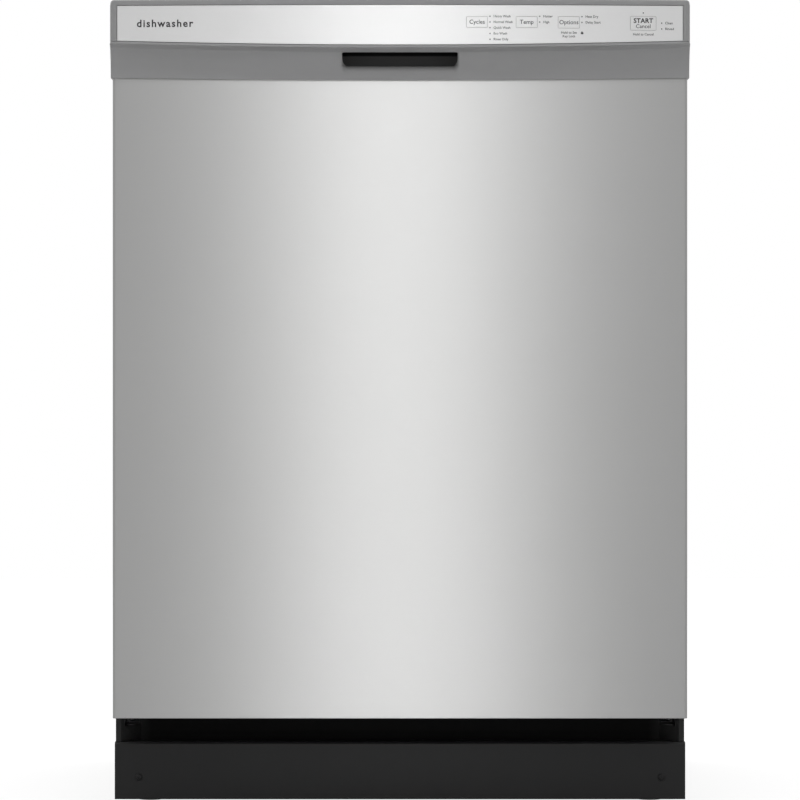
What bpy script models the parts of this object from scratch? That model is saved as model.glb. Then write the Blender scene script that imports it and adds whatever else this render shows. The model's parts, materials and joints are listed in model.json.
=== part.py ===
"""A built-in dishwasher, 24 inch class, with its door shut and both racks pushed in.

Metres, +Z up. The front faces -Y. The origin is on the floor, under the middle of the bounding box.
Each named object is one physical piece, and a moving piece has its origin on its axis.
"""

import math

import bmesh
import bpy
from mathutils import Matrix, Vector

# ---------------------------------------------------------------- driving dimensions
WIDTH = 0.608  # across the console, the widest piece
HEIGHT = 0.851  # floor to the top of the counter brackets, legs screwed in
DEPTH = 0.635  # console nose to the back of the blanket
GAP = 0.0004  # between pieces that rest on each other

Y_NOSE = -DEPTH / 2
Y_BACK = DEPTH / 2

# door
DOOR_HALF = 0.3022
Y_DOOR = Y_NOSE + 0.028  # stainless face
DOOR_BOTTOM = 0.0971
PANEL_TOP = 0.7725
SHEET = 0.001
Y_LINER = -0.2405  # the liner's flange, which shuts on the gasket
Y_LINER_PAN = -0.2290  # the liner's raised middle
LINER_HALF = 0.2965
LINER_BOTTOM = 0.1320
LINER_TOP = 0.8420
LINER_WALL = 0.002
HINGE_Y = -0.2545
HINGE_Z = 0.1150

# console
CONSOLE_HALF = WIDTH / 2
CONSOLE_TOP = 0.8509
CONSOLE_BACK = Y_LINER - 0.0008
CONSOLE_BOW = 0.010  # how far the ends lie behind the middle
CREASE_Z = 0.8000
CREASE_RISE = 0.0050
LOWER_EDGE_Z = 0.7680
LOWER_EDGE_RISE = 0.0024
CONSOLE_WALL = 0.0025
FASCIA_HALF = 0.2964
FASCIA_TOP = 0.8450
FASCIA_BOTTOM = 0.8029
FASCIA_BOTTOM_RISE = 0.0050
FASCIA_RECESS = 0.0008
FASCIA_THICK = 0.0012
GRIP_HALF = 0.0607
GRIP_TOP = 0.7957
GRIP_BOTTOM = 0.7815
BUTTON_TRAVEL = 0.0008
BUTTON_CLEARANCE = 0.0003
# name, centre x, centre z, width, height
BUTTONS = (
    ("cycle_button", 0.0805, 0.8268, 0.0218, 0.0112),
    ("temp_button", 0.1324, 0.8268, 0.0220, 0.0114),
    ("option_button", 0.1765, 0.8266, 0.0222, 0.0118),
    ("start_button", 0.2545, 0.8260, 0.0266, 0.0143),
)

# tub
TUB_HALF = 0.2830
TUB_BOTTOM = 0.1250
TUB_TOP = 0.8320
TUB_WALL = 0.0025
Y_TUB_FLANGE = -0.2365
Y_TUB_BACK = 0.2920
LEDGE_TOP = 0.1457
LEDGE_HALF = 0.2320
SUMP_HALF = 0.075
SUMP_FRONT = -0.155
SUMP_BACK = 0.075

# base
BASE_HALF = 0.3030
BASE_BOTTOM = 0.026
BASE_TOP = TUB_BOTTOM - GAP
BASE_WALL = 0.003
Y_BASE_FRONT = -0.2000
Y_BASE_BACK = 0.3000
LEG_X = 0.270
LEG_Y = (-0.165, 0.262)
LEG_SHAFT = 0.005
LEG_CLEARANCE = 0.0003
TOE_HALF = 0.3040
TOE_BOTTOM = 0.0066
TOE_TOP = 0.0675
Y_TOE = -0.2345
SCREW_X = 0.2785
SCREW_Z = 0.0300
# the base's corners, which come forward beside the recess over the toe kick: x, y
WING = ((BASE_HALF, Y_TOE + 0.0024), (BASE_HALF, Y_BASE_FRONT + 0.001), (0.2940, Y_BASE_FRONT + 0.001),
        (0.2940, -0.2260), (0.2975, Y_TOE + 0.0024))
WING_TOP = 0.0950
GUSSET = ((0.2950, -0.2270), (0.2950, Y_BASE_FRONT + 0.001), (0.2780, Y_BASE_FRONT + 0.001))
GUSSET_TOP = 0.0840
FRAME_HALF = 0.3025

# racks and sprays
RACK_HALF = 0.2600
RACK_FRONT = -0.2050
RACK_BACK = 0.2480
WIRE = 0.0024  # wire radius
LOWER_RACK_Z = (0.1965, 0.2650, 0.3300)
UPPER_RACK_Z = (0.4780, 0.5300, 0.6000)
WHEEL_R = 0.018
WHEEL_Y = (-0.105, 0.180)
WHEEL_X = 0.2510
SPRAY_Y = 0.020
SHELF_X = (0.150, 0.238)
SHELF_Z = 0.5620
RUNNER_Z = 0.5300
BASKET = ((0.1440, -0.1500, 0.2060), (0.2240, 0.1700, 0.3300))  # low and high corner
FILTER_Y = -0.105

# on the inner door
DISPENSER = ((-0.055, 0.3750), (0.105, 0.4700))  # low and high corner, x and z
CUP = ((-0.0400, 0.3900), (0.0300, 0.4550))
CAP_X, CAP_Z, CAP_R = 0.0680, 0.4220, 0.0190
VENT_X, VENT_Z, VENT_R = -0.1500, 0.7000, 0.0400
Y_DISPENSER = -0.2200
LID_FRONT, LID_BACK = Y_DISPENSER + 0.0005, Y_DISPENSER + 0.0035

# hinge and latch
ARM_X = (0.2875, 0.2905)
EAR_X = (0.2930, 0.2960)
PIN_R = 0.003
TAIL = (0.028, -0.012)  # from the hinge axis, y and z
STRIKE_Z = 0.8385

MATERIALS = {}


# ---------------------------------------------------------------- helpers
def clear_scene():
    for obj in list(bpy.data.objects):
        bpy.data.objects.remove(obj, do_unlink=True)


def material(name, colour, roughness, metallic=0.0):
    made = bpy.data.materials.new(name)
    made.use_nodes = True
    shader = made.node_tree.nodes["Principled BSDF"]
    shader.inputs["Base Color"].default_value = (*colour, 1.0)
    shader.inputs["Roughness"].default_value = roughness
    shader.inputs["Metallic"].default_value = metallic
    made.diffuse_color = (*colour, 1.0)
    MATERIALS[name] = made


def make_materials():
    material("brushed_steel", (0.62, 0.62, 0.61), 0.32, 1.0)
    material("galvanised_steel", (0.52, 0.53, 0.54), 0.45, 1.0)
    material("console_grey", (0.24, 0.24, 0.245), 0.45)
    material("black_plastic", (0.02, 0.02, 0.021), 0.5)
    material("toe_black", (0.022, 0.022, 0.023), 0.4)
    material("tub_grey", (0.46, 0.47, 0.48), 0.45)
    material("rack_grey", (0.33, 0.35, 0.38), 0.4)
    material("white_plastic", (0.72, 0.73, 0.73), 0.45)
    material("gasket_rubber", (0.05, 0.05, 0.052), 0.7)
    material("blanket_felt", (0.09, 0.09, 0.095), 0.95)
    material("circuit_green", (0.02, 0.16, 0.06), 0.5)
    material("heater_metal", (0.20, 0.19, 0.185), 0.4, 1.0)
    material("blue_plastic", (0.06, 0.16, 0.42), 0.45)


def add(name, bm, material_name, origin=(0, 0, 0)):
    """Makes an object of a bmesh, with its origin at the given point."""
    bmesh.ops.recalc_face_normals(bm, faces=bm.faces)
    mesh = bpy.data.meshes.new(name)
    bmesh.ops.translate(bm, verts=bm.verts, vec=-Vector(origin))
    bm.to_mesh(mesh)
    bm.free()
    obj = bpy.data.objects.new(name, mesh)
    obj.location = origin
    bpy.context.scene.collection.objects.link(obj)
    mesh.materials.append(MATERIALS[material_name])
    return obj


def hide(obj):
    obj.hide_render = True
    obj.display_type = "WIRE"
    return obj


def combine(obj, operation, bms):
    """Cuts bmesh shapes from an object, or fuses them to it, with one Boolean for each shape."""
    for index, bm in enumerate(bms):
        helper = hide(add(f"{obj.name}_{operation.lower()}_{index}", bm, "black_plastic"))
        modifier = obj.modifiers.new(helper.name, "BOOLEAN")
        modifier.operation = operation
        modifier.solver = "EXACT"
        modifier.object = helper
    return obj


def fuse_self(obj):
    """Joins the overlapping shells of one mesh into one body."""
    lone = bmesh.new()
    bmesh.ops.create_cube(lone, size=WIRE)
    bmesh.ops.translate(lone, verts=lone.verts, vec=obj.data.vertices[0].co + obj.location)
    combine(obj, "UNION", [lone])
    obj.modifiers[-1].use_self = True
    return obj


def box(lo, hi):
    bm = bmesh.new()
    centre = (Vector(lo) + Vector(hi)) / 2
    size = Vector(hi) - Vector(lo)
    bmesh.ops.create_cube(bm, size=1.0, matrix=Matrix.LocRotScale(centre, None, size))
    return bm


def merge(bms):
    """One bmesh holding all the shapes."""
    whole = bmesh.new()
    for bm in bms:
        mesh = bpy.data.meshes.new("merge")
        bm.to_mesh(mesh)
        bm.free()
        whole.from_mesh(mesh)
        bpy.data.meshes.remove(mesh)
    return whole


PLANES = {"X": (1, 2, 0), "Y": (0, 2, 1), "Z": (0, 1, 2)}


def place(point, depth, axis):
    """A 2-D point on a plane across the axis, as a 3-D point at that depth along it."""
    first, second, along = PLANES[axis]
    out = [0.0, 0.0, 0.0]
    out[first], out[second], out[along] = point[0], point[1], depth
    return out


def prism(outline, axis, lo, hi):
    """A solid of one outline, from lo to hi along an axis."""
    return loft([[place(p, depth, axis) for p in outline] for depth in (lo, hi)])


def loft(rings):
    """A closed solid through rings with the same number of points, capped at both ends."""
    bm = bmesh.new()
    rows = [[bm.verts.new(p) for p in ring] for ring in rings]
    count = len(rows[0])
    for lower, upper in zip(rows, rows[1:]):
        for i in range(count):
            j = (i + 1) % count
            bm.faces.new((lower[i], lower[j], upper[j], upper[i]))
    bm.faces.new(rows[0])
    bm.faces.new(rows[-1])
    return bm


def circle(centre, radius, sides):
    step = math.tau / sides
    return [
        (centre[0] + radius * math.cos(i * step), centre[1] + radius * math.sin(i * step))
        for i in range(sides)
    ]


def rounded(lo, hi, radius, segments=3):
    """A rectangle with round corners, anticlockwise."""
    corners = (
        (hi[0] - radius, hi[1] - radius, 0),
        (lo[0] + radius, hi[1] - radius, 1),
        (lo[0] + radius, lo[1] + radius, 2),
        (hi[0] - radius, lo[1] + radius, 3),
    )
    points = []
    for cx, cy, quarter in corners:
        for i in range(segments + 1):
            angle = (quarter + i / segments) * math.pi / 2
            points.append((cx + radius * math.cos(angle), cy + radius * math.sin(angle)))
    return points


def drum(axis, stations, centre, sides):
    """A turned solid. Each station is (place along the axis, radius)."""
    return loft([[place(p, a, axis) for p in circle(centre, r, sides)] for a, r in stations])


def sleeve(axis, lo, hi, centre, outer, inner, sides):
    """A round tube with a bore."""
    bm = drum(axis, ((lo, outer), (hi, outer)), centre, sides)
    caps = [f for f in bm.faces if len(f.verts) == sides]
    bmesh.ops.delete(bm, geom=caps, context="FACES_ONLY")
    _, _, along = PLANES[axis]
    ends = [sorted((v for v in bm.verts if abs(v.co[along] - a) < 1e-6), key=lambda v: v.index)
            for a in (lo, hi)]
    bm.verts.index_update()
    rows = []
    for depth in (lo, hi):
        rows.append([bm.verts.new(place(p, depth, axis)) for p in circle(centre, inner, sides)])
    for i in range(sides):
        j = (i + 1) % sides
        bm.faces.new((rows[0][i], rows[1][i], rows[1][j], rows[0][j]))
        bm.faces.new((ends[0][i], ends[0][j], rows[0][j], rows[0][i]))
        bm.faces.new((ends[1][i], rows[1][i], rows[1][j], ends[1][j]))
    return bm


def sweep(points, radius, sides=4, closed=False):
    """A bar of even thickness along a path, with mitred corners."""
    path = [Vector(p) for p in points]
    count = len(path)
    last = count if closed else count - 1
    runs = [(path[(i + 1) % count] - path[i]).normalized() for i in range(last)]
    side = runs[0].orthogonal()
    if abs(runs[0].z) < 0.9:
        side = runs[0].cross(Vector((0, 0, 1)))
    side.normalize()
    other = runs[0].cross(side)
    ring = []
    for i in range(sides):
        angle = (i + 0.5) * math.tau / sides
        ring.append(path[0] + radius * (math.cos(angle) * side + math.sin(angle) * other))

    def onto(ring_points, run, centre, normal):
        return [p + run * ((centre - p).dot(normal) / run.dot(normal)) for p in ring_points]

    if closed:
        ring = onto(ring, runs[0], path[0], (runs[-1] + runs[0]).normalized())
    rings = [ring]
    for i in range(1, count):
        normal = runs[i - 1]
        if closed or i < count - 1:
            normal = (runs[i - 1] + runs[i % len(runs)]).normalized()
        rings.append(onto(rings[-1], runs[i - 1], path[i], normal))
    if not closed:
        return loft(rings)
    bm = bmesh.new()
    rows = [[bm.verts.new(p) for p in r] for r in rings]
    for lower, upper in zip(rows, rows[1:] + rows[:1]):
        for i in range(sides):
            j = (i + 1) % sides
            bm.faces.new((lower[i], lower[j], upper[j], upper[i]))
    return bm


def shade(obj, angle=35):
    obj.data.shade_smooth()
    obj.data.set_sharp_from_angle(angle=math.radians(angle))
    return obj


# ---------------------------------------------------------------- the console's curved face
def bow(x):
    """How far the console's face lies behind its middle, at x."""
    return CONSOLE_BOW * (x / CONSOLE_HALF) ** 2


def bowed_plate(lo, hi, front, thick, pieces, lower_rise=0.0):
    """A plate that follows the console's bow. lo and hi are (x, z); front is its y at the middle."""
    rings = []
    for i in range(pieces + 1):
        x = lo[0] + (hi[0] - lo[0]) * i / pieces
        y = front + bow(x)
        bottom = lo[1] + lower_rise * (x / CONSOLE_HALF) ** 2
        rings.append([(x, y, bottom), (x, y + thick, bottom), (x, y + thick, hi[1]), (x, y, hi[1])])
    return loft(rings)


def console_section(x, inset):
    """The console's side profile at x, moved in by a wall's thickness."""
    back, share = bow(x), (x / CONSOLE_HALF) ** 2
    nose = Y_NOSE + back + inset
    crease = CREASE_Z + CREASE_RISE * share + inset * 0.6
    foot = LOWER_EDGE_Z + LOWER_EDGE_RISE * share
    y_foot = Y_DOOR - 0.0045 + back * 0.1 + inset
    top = CONSOLE_TOP - inset
    scoop = []
    for i in range(1, 5):
        angle = i / 4 * math.pi / 2
        y = y_foot - (y_foot - nose - 0.0015) * math.cos(angle)
        z = crease - 0.0015 - (crease - 0.0015 - foot - 0.014) * math.sin(angle)
        scoop.append((y, z))
    face = [(nose + 0.010, top), (nose + 0.003, top - 0.0025), (nose + 0.0006, top - 0.0065)]
    return [(CONSOLE_BACK, top), *face, (nose, crease + 0.001), (nose + 0.0015, crease - 0.0015),
            *scoop, (y_foot, foot)]


def make_console():
    stations = [-1.0, -0.96, -0.8, -0.6, -0.4, -0.2, 0.0, 0.2, 0.4, 0.6, 0.8, 0.96, 1.0]
    rings = []
    for share in stations:
        x = share * CONSOLE_HALF
        outer = console_section(x, 0.0)
        inner = console_section(x, CONSOLE_WALL)
        rings.append([(x, y, z) for y, z in outer + inner[::-1]])
    shell = add("console_housing", loft(rings), "console_grey")
    ends = []
    for side in (-1, 1):
        wall = sorted((side * CONSOLE_HALF, side * (DOOR_HALF + 0.0003)))
        outline = console_section(side * CONSOLE_HALF, 0.0)
        outline.append((CONSOLE_BACK, outline[-1][1]))
        wall_x = (wall[0] + 1e-5, wall[1] - 1e-5)
        inset = [(y + 1e-5 if y < -0.27 else y - 1e-5, min(z, CONSOLE_TOP - 1e-5)) for y, z in outline]
        ends.append(prism(inset, "X", *wall_x))
    combine(shell, "UNION", ends)
    recess = bowed_plate(
        (-FASCIA_HALF, FASCIA_BOTTOM), (FASCIA_HALF, FASCIA_TOP),
        Y_NOSE - 0.002, 0.002 + FASCIA_RECESS + FASCIA_THICK + GAP, 12, FASCIA_BOTTOM_RISE,
    )
    window = box((0.066, Y_NOSE - 0.01, 0.8130), (0.282, Y_NOSE + 0.016, 0.8385))
    grip = box((-GRIP_HALF, Y_NOSE - 0.01, GRIP_BOTTOM), (GRIP_HALF, Y_DOOR + 0.004, GRIP_TOP))
    combine(shell, "DIFFERENCE", [recess, window, grip])
    return shell


def make_fascia():
    edge = 0.0003
    plate = bowed_plate(
        (-FASCIA_HALF + edge, FASCIA_BOTTOM + edge), (FASCIA_HALF - edge, FASCIA_TOP - edge),
        Y_NOSE + FASCIA_RECESS, FASCIA_THICK, 12, FASCIA_BOTTOM_RISE,
    )
    fascia = add("console_fascia", plate, "brushed_steel")
    holes = []
    for _, x, z, width, height in BUTTONS:
        half_w, half_h = width / 2 + BUTTON_CLEARANCE, height / 2 + BUTTON_CLEARANCE
        holes.append(
            box((x - half_w, Y_NOSE - 0.01, z - half_h), (x + half_w, Y_NOSE + 0.02, z + half_h))
        )
    return combine(fascia, "DIFFERENCE", holes)


def make_buttons():
    for name, x, z, width, height in BUTTONS:
        pad = bowed_plate(
            (x - width / 2, z - height / 2), (x + width / 2, z + height / 2),
            Y_NOSE + FASCIA_RECESS, 0.0040, 3,
        )
        add(name, pad, "brushed_steel", (x, Y_NOSE + FASCIA_RECESS + bow(x), z))


def make_control_board():
    y = Y_NOSE + 0.0165
    board = box((0.065, y, 0.8090), (0.284, y + 0.0016, 0.8420))
    parts = [box((0.100, y + 0.0010, 0.8150), (0.140, y + 0.0110, 0.8350)),
             box((0.200, y + 0.0010, 0.8150), (0.226, y + 0.0080, 0.8320))]
    combine(add("control_board", board, "circuit_green"), "UNION", parts)


def make_handle_pocket():
    """A black cup behind the grip hole, open to the front and rising behind the fascia."""
    front, back = Y_DOOR - 0.0005, -0.2560
    wall = 0.002
    top = 0.8262
    outer = [(front, 0.7788), (back + 0.006, 0.7788), (back, 0.7850), (back, top), (-0.3010, top),
             (-0.3010, GRIP_TOP + 0.0008), (front, GRIP_TOP + 0.0008)]
    cup = add("handle_pocket", prism(outer, "X", -GRIP_HALF - wall, GRIP_HALF + wall), "black_plastic")
    inner = [(Y_DOOR - 0.02, GRIP_BOTTOM), (back - 0.009, GRIP_BOTTOM), (back - wall, 0.7860),
             (back - wall, top - wall), (-0.2990, top - wall), (-0.2990, GRIP_TOP - 0.0012),
             (Y_DOOR - 0.02, GRIP_TOP - 0.0012)]
    return combine(cup, "DIFFERENCE", [prism(inner, "X", -GRIP_HALF, GRIP_HALF)])


# ---------------------------------------------------------------- door
def make_outer_panel():
    """A folded stainless sheet: face, side returns and a bottom lip."""
    back = Y_DOOR + 0.0270
    half, r = DOOR_HALF, 0.0030
    outer = [(-half, back)]
    for cx, start in ((-half + r, math.pi), (half - r, 1.5 * math.pi)):
        for i in range(4):
            angle = start + i / 3 * math.pi / 2
            outer.append((cx + r * math.cos(angle), Y_DOOR + r + r * math.sin(angle)))
    outer.append((half, back))
    scale_x = (half - SHEET) / half
    inner = [(x * scale_x, max(y, Y_DOOR + SHEET) if y < back else y) for x, y in outer]
    panel = add("door_outer_panel", prism(outer + inner[::-1], "Z", DOOR_BOTTOM, PANEL_TOP),
                "brushed_steel")
    lip = box((-half + 0.0012, Y_DOOR + 0.0004, DOOR_BOTTOM + 0.0001),
              (half - 0.0012, Y_DOOR + 0.0150, DOOR_BOTTOM + 0.0011))
    return combine(panel, "UNION", [lip])


def make_liner():
    """The inner door: flange, raised pan and a side wall all round."""
    half, low, high = LINER_HALF, LINER_BOTTOM, LINER_TOP
    wall, front = LINER_WALL, -0.2620

    def ring(inset, y, radius, foot=0.0):
        outline = rounded((-half + inset, low + inset + foot), (half - inset, high - inset), radius)
        return [(x, y, z) for x, z in outline]

    rings = [
        ring(0.036, Y_LINER_PAN, 0.020, 0.006),
        ring(0.028, Y_LINER, 0.022, 0.006),
        ring(0.0, Y_LINER, 0.012),
        ring(0.0, front, 0.012),
        ring(wall, front, 0.010),
        ring(wall, Y_LINER - wall, 0.010),
        ring(0.028 + wall, Y_LINER - wall, 0.020, 0.006),
        ring(0.036 + wall, Y_LINER_PAN - wall, 0.018, 0.006),
    ]
    liner = add("door_inner_liner", loft(rings), "tub_grey")
    (x0, z0), (x1, z1) = DISPENSER
    seat = box((x0 + 0.004, -0.26, z0 + 0.004), (x1 - 0.004, -0.20, z1 - 0.004))
    vent = drum("Y", ((-0.26, VENT_R - 0.004), (-0.20, VENT_R - 0.004)), (VENT_X, VENT_Z), 20)
    latch = box((-0.0355, -0.27, 0.8250), (0.0355, Y_LINER - wall - 0.0005, 0.8500))
    mouth = box((-0.018, -0.26, 0.8330), (0.018, -0.23, 0.8500))
    cuts = [seat, vent, latch, mouth]
    for side in (-1, 1):
        lo, hi = sorted((side * (ARM_X[0] - 0.001), side * (ARM_X[1] + 0.001)))
        cuts.append(box((lo, -0.27, 0.125), (hi, -0.2455, 0.1385)))
    return combine(liner, "DIFFERENCE", cuts)


def make_dispenser():
    (x0, z0), (x1, z1) = DISPENSER
    flange = box((x0, Y_LINER_PAN + GAP, z0), (x1, Y_DISPENSER, z1))
    body = add("dispenser_body", flange, "white_plastic")
    well = box((x0 + 0.006, -0.2620, z0 + 0.006), (x1 - 0.006, Y_LINER_PAN + 0.001, z1 - 0.006))
    combine(body, "UNION", [well])
    (cx0, cz0), (cx1, cz1) = CUP
    cup = box((cx0, -0.2560, cz0), (cx1, -0.20, cz1))
    cap_seat = drum("Y", ((-0.2340, CAP_R + 0.0006), (-0.20, CAP_R + 0.0006)), (CAP_X, CAP_Z), 20)
    combine(body, "DIFFERENCE", [cup, cap_seat])
    lid = box((cx0 - 0.002, LID_FRONT, cz0 - 0.004), (cx1 + 0.002, LID_BACK, cz1 + 0.002))
    hinge = (0, LID_FRONT + 0.001, cz0 - 0.004)
    combine(add("detergent_lid", lid, "white_plastic", hinge), "UNION",
            [box((cx0 + 0.022, LID_FRONT + 0.001, cz1 - 0.006),
                 (cx1 - 0.022, LID_BACK + 0.002, cz1 + 0.0012))])
    cap = drum("Y", ((-0.2330, CAP_R), (-0.2180, CAP_R), (-0.2165, CAP_R - 0.0015)), (CAP_X, CAP_Z), 20)
    rib = box((CAP_X - CAP_R * 0.8, -0.2175, CAP_Z - 0.003), (CAP_X + CAP_R * 0.8, -0.2125, CAP_Z + 0.003))
    combine(add("rinse_aid_cap", cap, "blue_plastic", (CAP_X, -0.2250, CAP_Z)), "UNION", [rib])


def make_vent():
    centre = (VENT_X, VENT_Z)
    stations = ((-0.2560, VENT_R - 0.0045), (Y_LINER_PAN + GAP, VENT_R - 0.0045),
                (Y_LINER_PAN + GAP, VENT_R), (-0.2255, VENT_R), (-0.2240, VENT_R - 0.0015))
    vent = add("door_vent", drum("Y", stations, centre, 20), "white_plastic")
    slots = []
    for row in range(-2, 3):
        half = math.sqrt((VENT_R - 0.010) ** 2 - (row * 0.012) ** 2)
        z = VENT_Z + row * 0.012
        slots.append(box((VENT_X - half, -0.2520, z - 0.003), (VENT_X + half, -0.20, z + 0.003)))
    combine(vent, "DIFFERENCE", slots)


def make_latch():
    body = add("latch_body", box((-0.034, -0.2860, 0.8270), (0.034, -0.2440, 0.8470)), "black_plastic")
    mouth = box((-0.015, -0.2700, 0.8355), (0.015, -0.2400, 0.8425))
    hook_room = box((-0.007, -0.2800, 0.8285), (0.007, -0.2400, 0.8380))
    pivot_y, pivot_z = -0.2760, 0.8320
    pin_hole = drum("X", ((-0.0095, 0.0016), (0.0095, 0.0016)), (pivot_y, pivot_z), 12)
    combine(body, "DIFFERENCE", [mouth, hook_room, pin_hole])
    outline = [(pivot_y - 0.0025, pivot_z - 0.0020), (-0.2500, pivot_z - 0.0020), (-0.2480, pivot_z + 0.0010),
               (-0.2500, 0.8374), (-0.2540, 0.8374), (-0.2560, pivot_z + 0.0020),
               (pivot_y - 0.0025, pivot_z + 0.0020)]
    hook = add("latch_hook", prism(outline, "X", -0.006, 0.006), "galvanised_steel", (0, pivot_y, pivot_z))
    combine(hook, "UNION", [drum("X", ((-0.0090, 0.0012), (0.0090, 0.0012)), (pivot_y, pivot_z), 12)])
    tongue = box((-0.010, -0.2640, STRIKE_Z), (0.010, -0.2000, STRIKE_Z + 0.0015))
    window = box((-0.0065, -0.2570, STRIKE_Z - 0.01), (0.0065, -0.2470, STRIKE_Z + 0.01))
    foot = box((-0.022, -0.2330, 0.8369), (0.022, -0.2000, STRIKE_Z + 0.0012))
    strike = add("latch_strike", tongue, "galvanised_steel")
    combine(strike, "UNION", [foot])
    combine(strike, "DIFFERENCE", [window])


def make_hinge_arm(name, side):
    """A steel strap inside the door, with a pivot hole and a tail for its spring."""
    y, z = HINGE_Y, HINGE_Z
    outline = [(y - 0.010, z - 0.006), (y - 0.004, z - 0.012), (y + 0.008, z - 0.014),
               (y + TAIL[0] + 0.004, z + TAIL[1] - 0.005), (y + TAIL[0] + 0.005, z + TAIL[1] + 0.004),
               (y + 0.010, z + 0.003), (y + 0.008, z + 0.010), (y + 0.008, z + 0.250), (y - 0.010, z + 0.250)]
    lo, hi = sorted((side * ARM_X[0], side * ARM_X[1]))
    arm = add(name, prism(outline, "X", lo, hi), "galvanised_steel", (side * ARM_X[0], y, z))
    holes = [drum("X", ((lo - 0.01, PIN_R + 0.0004), (hi + 0.01, PIN_R + 0.0004)), (y, z), 16),
             drum("X", ((lo - 0.01, 0.0024), (hi + 0.01, 0.0024)), (y + TAIL[0], z + TAIL[1]), 12)]
    return combine(arm, "DIFFERENCE", holes)


def make_hinge_spring(name, side):
    """A tension spring in the base's side, hooked through the hinge arm's tail."""
    y, z = HINGE_Y + TAIL[0], HINGE_Z + TAIL[1]
    inner = side * (ARM_X[0] - 0.0030)
    route = [
        ((side * (ARM_X[1] + 0.0018), y, z), 0.1), ((inner, y, z), 0.1),
        ((inner, y + 0.012, z - 0.001), 0.1), ((side * 0.2850, y + 0.040, z - 0.016), 0.1),
        ((side * 0.2850, y + 0.0405, z - 0.0162), 0.62), ((side * 0.2850, y + 0.185, z - 0.052), 0.62),
        ((side * 0.2850, y + 0.1855, z - 0.0522), 0.1), ((side * 0.2850, y + 0.215, z - 0.060), 0.1),
    ]
    curve = bpy.data.curves.new(name, "CURVE")
    curve.dimensions = "3D"
    curve.bevel_depth = 0.010
    curve.bevel_resolution = 1
    curve.use_fill_caps = True
    line = curve.splines.new("POLY")
    line.points.add(len(route) - 1)
    for point, (co, radius) in zip(line.points, route):
        point.co = (*co, 1.0)
        point.radius = radius
    curve.materials.append(MATERIALS["galvanised_steel"])
    bpy.context.scene.collection.objects.link(bpy.data.objects.new(name, curve))


# ---------------------------------------------------------------- tub and what is in it
def make_tub():
    def ring(half, low, high, y, radius):
        return [(x, y, z) for x, z in rounded((-half, low), (half, high), radius)]

    wall = TUB_WALL
    inner_half, inner_low, inner_high = TUB_HALF - wall, TUB_BOTTOM + wall, TUB_TOP - wall
    rings = [
        ring(TUB_HALF - 0.016, TUB_BOTTOM + 0.016, TUB_TOP - 0.016, Y_TUB_BACK, 0.030),
        ring(TUB_HALF, TUB_BOTTOM, TUB_TOP, Y_TUB_BACK - 0.016, 0.034),
        ring(TUB_HALF, TUB_BOTTOM, TUB_TOP, Y_TUB_FLANGE + 0.002, 0.034),
        ring(0.2975, 0.1195, 0.8335, Y_TUB_FLANGE + 0.002, 0.030),
        ring(0.2975, 0.1195, 0.8335, Y_TUB_FLANGE, 0.030),
        ring(inner_half, inner_low, inner_high, Y_TUB_FLANGE, 0.032),
        ring(inner_half, inner_low, inner_high, Y_TUB_BACK - 0.018, 0.032),
        ring(inner_half - 0.014, inner_low + 0.014, inner_high - 0.014, Y_TUB_BACK - wall, 0.028),
    ]
    tub = add("tub", loft(rings), "tub_grey")
    ledges = []
    for side in (-1, 1):
        lo, hi = sorted((side * LEDGE_HALF, side * (TUB_HALF - 0.001)))
        ledges.append(box((lo, Y_TUB_FLANGE + 0.004, TUB_BOTTOM + 0.001), (hi, 0.270, LEDGE_TOP)))
    combine(tub, "UNION", ledges)
    cuts = [prism(rounded((-SUMP_HALF, SUMP_FRONT), (SUMP_HALF, SUMP_BACK), 0.020, 2), "Z", 0.10, 0.14)]
    for side in (-1, 1):
        lo, hi = sorted((side * (TUB_HALF + 0.0008), side * 0.310))
        cuts.append(box((lo, Y_TUB_FLANGE - 0.01, 0.110), (hi, Y_TUB_FLANGE + 0.01, 0.172)))
    return combine(tub, "DIFFERENCE", cuts)


def make_gasket():
    lo_z, top, outer, inner = 0.176, 0.8300, 0.2935, 0.2855
    outline = [(-outer, lo_z), (-inner, lo_z), (-inner, top - 0.008), (inner, top - 0.008), (inner, lo_z),
               (outer, lo_z), (outer, top), (-outer, top)]
    add("tub_gasket", prism(outline, "Y", Y_LINER + 0.0003, Y_TUB_FLANGE - 0.0003), "gasket_rubber")


def make_front_frame():
    """The steel channel round the tub's mouth, open at the bottom."""
    outer, inner, top, low = FRAME_HALF, 0.2980, 0.8465, BASE_TOP + 0.0004
    outline = [(-outer, low), (-inner, low), (-inner, 0.8345), (inner, 0.8345), (inner, low), (outer, low),
               (outer, top), (-outer, top)]
    frame = add("front_frame", prism(outline, "Y", Y_TUB_FLANGE, -0.1900), "galvanised_steel")
    slot = box((-0.024, -0.25, STRIKE_Z - 0.0003), (0.024, -0.18, STRIKE_Z + 0.0022))
    hollow = box((-0.290, Y_TUB_FLANGE + 0.002, 0.8365), (0.290, -0.18, 0.8450))
    combine(frame, "DIFFERENCE", [hollow, slot])


def make_brackets():
    """Folded tabs that screw to the underside of a counter."""
    for name, side in (("counter_bracket_left", -1), ("counter_bracket_right", 1)):
        x0, x1 = sorted((side * 0.180, side * 0.215))
        foot = box((x0, -0.2300, 0.8465 + GAP), (x1, -0.1950, 0.8482))
        riser = box((x0, -0.2300, 0.8470), (x1, -0.2285, HEIGHT - 0.0001))
        tab = box((x0, -0.2300, HEIGHT - 0.0016), (x1, -0.2000, HEIGHT))
        bracket = combine(add(name, foot, "galvanised_steel"), "UNION", [riser, tab])
        hole = drum("Z", ((0.84, 0.0025), (0.86, 0.0025)), ((x0 + x1) / 2, -0.2120), 12)
        combine(bracket, "DIFFERENCE", [hole])


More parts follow.
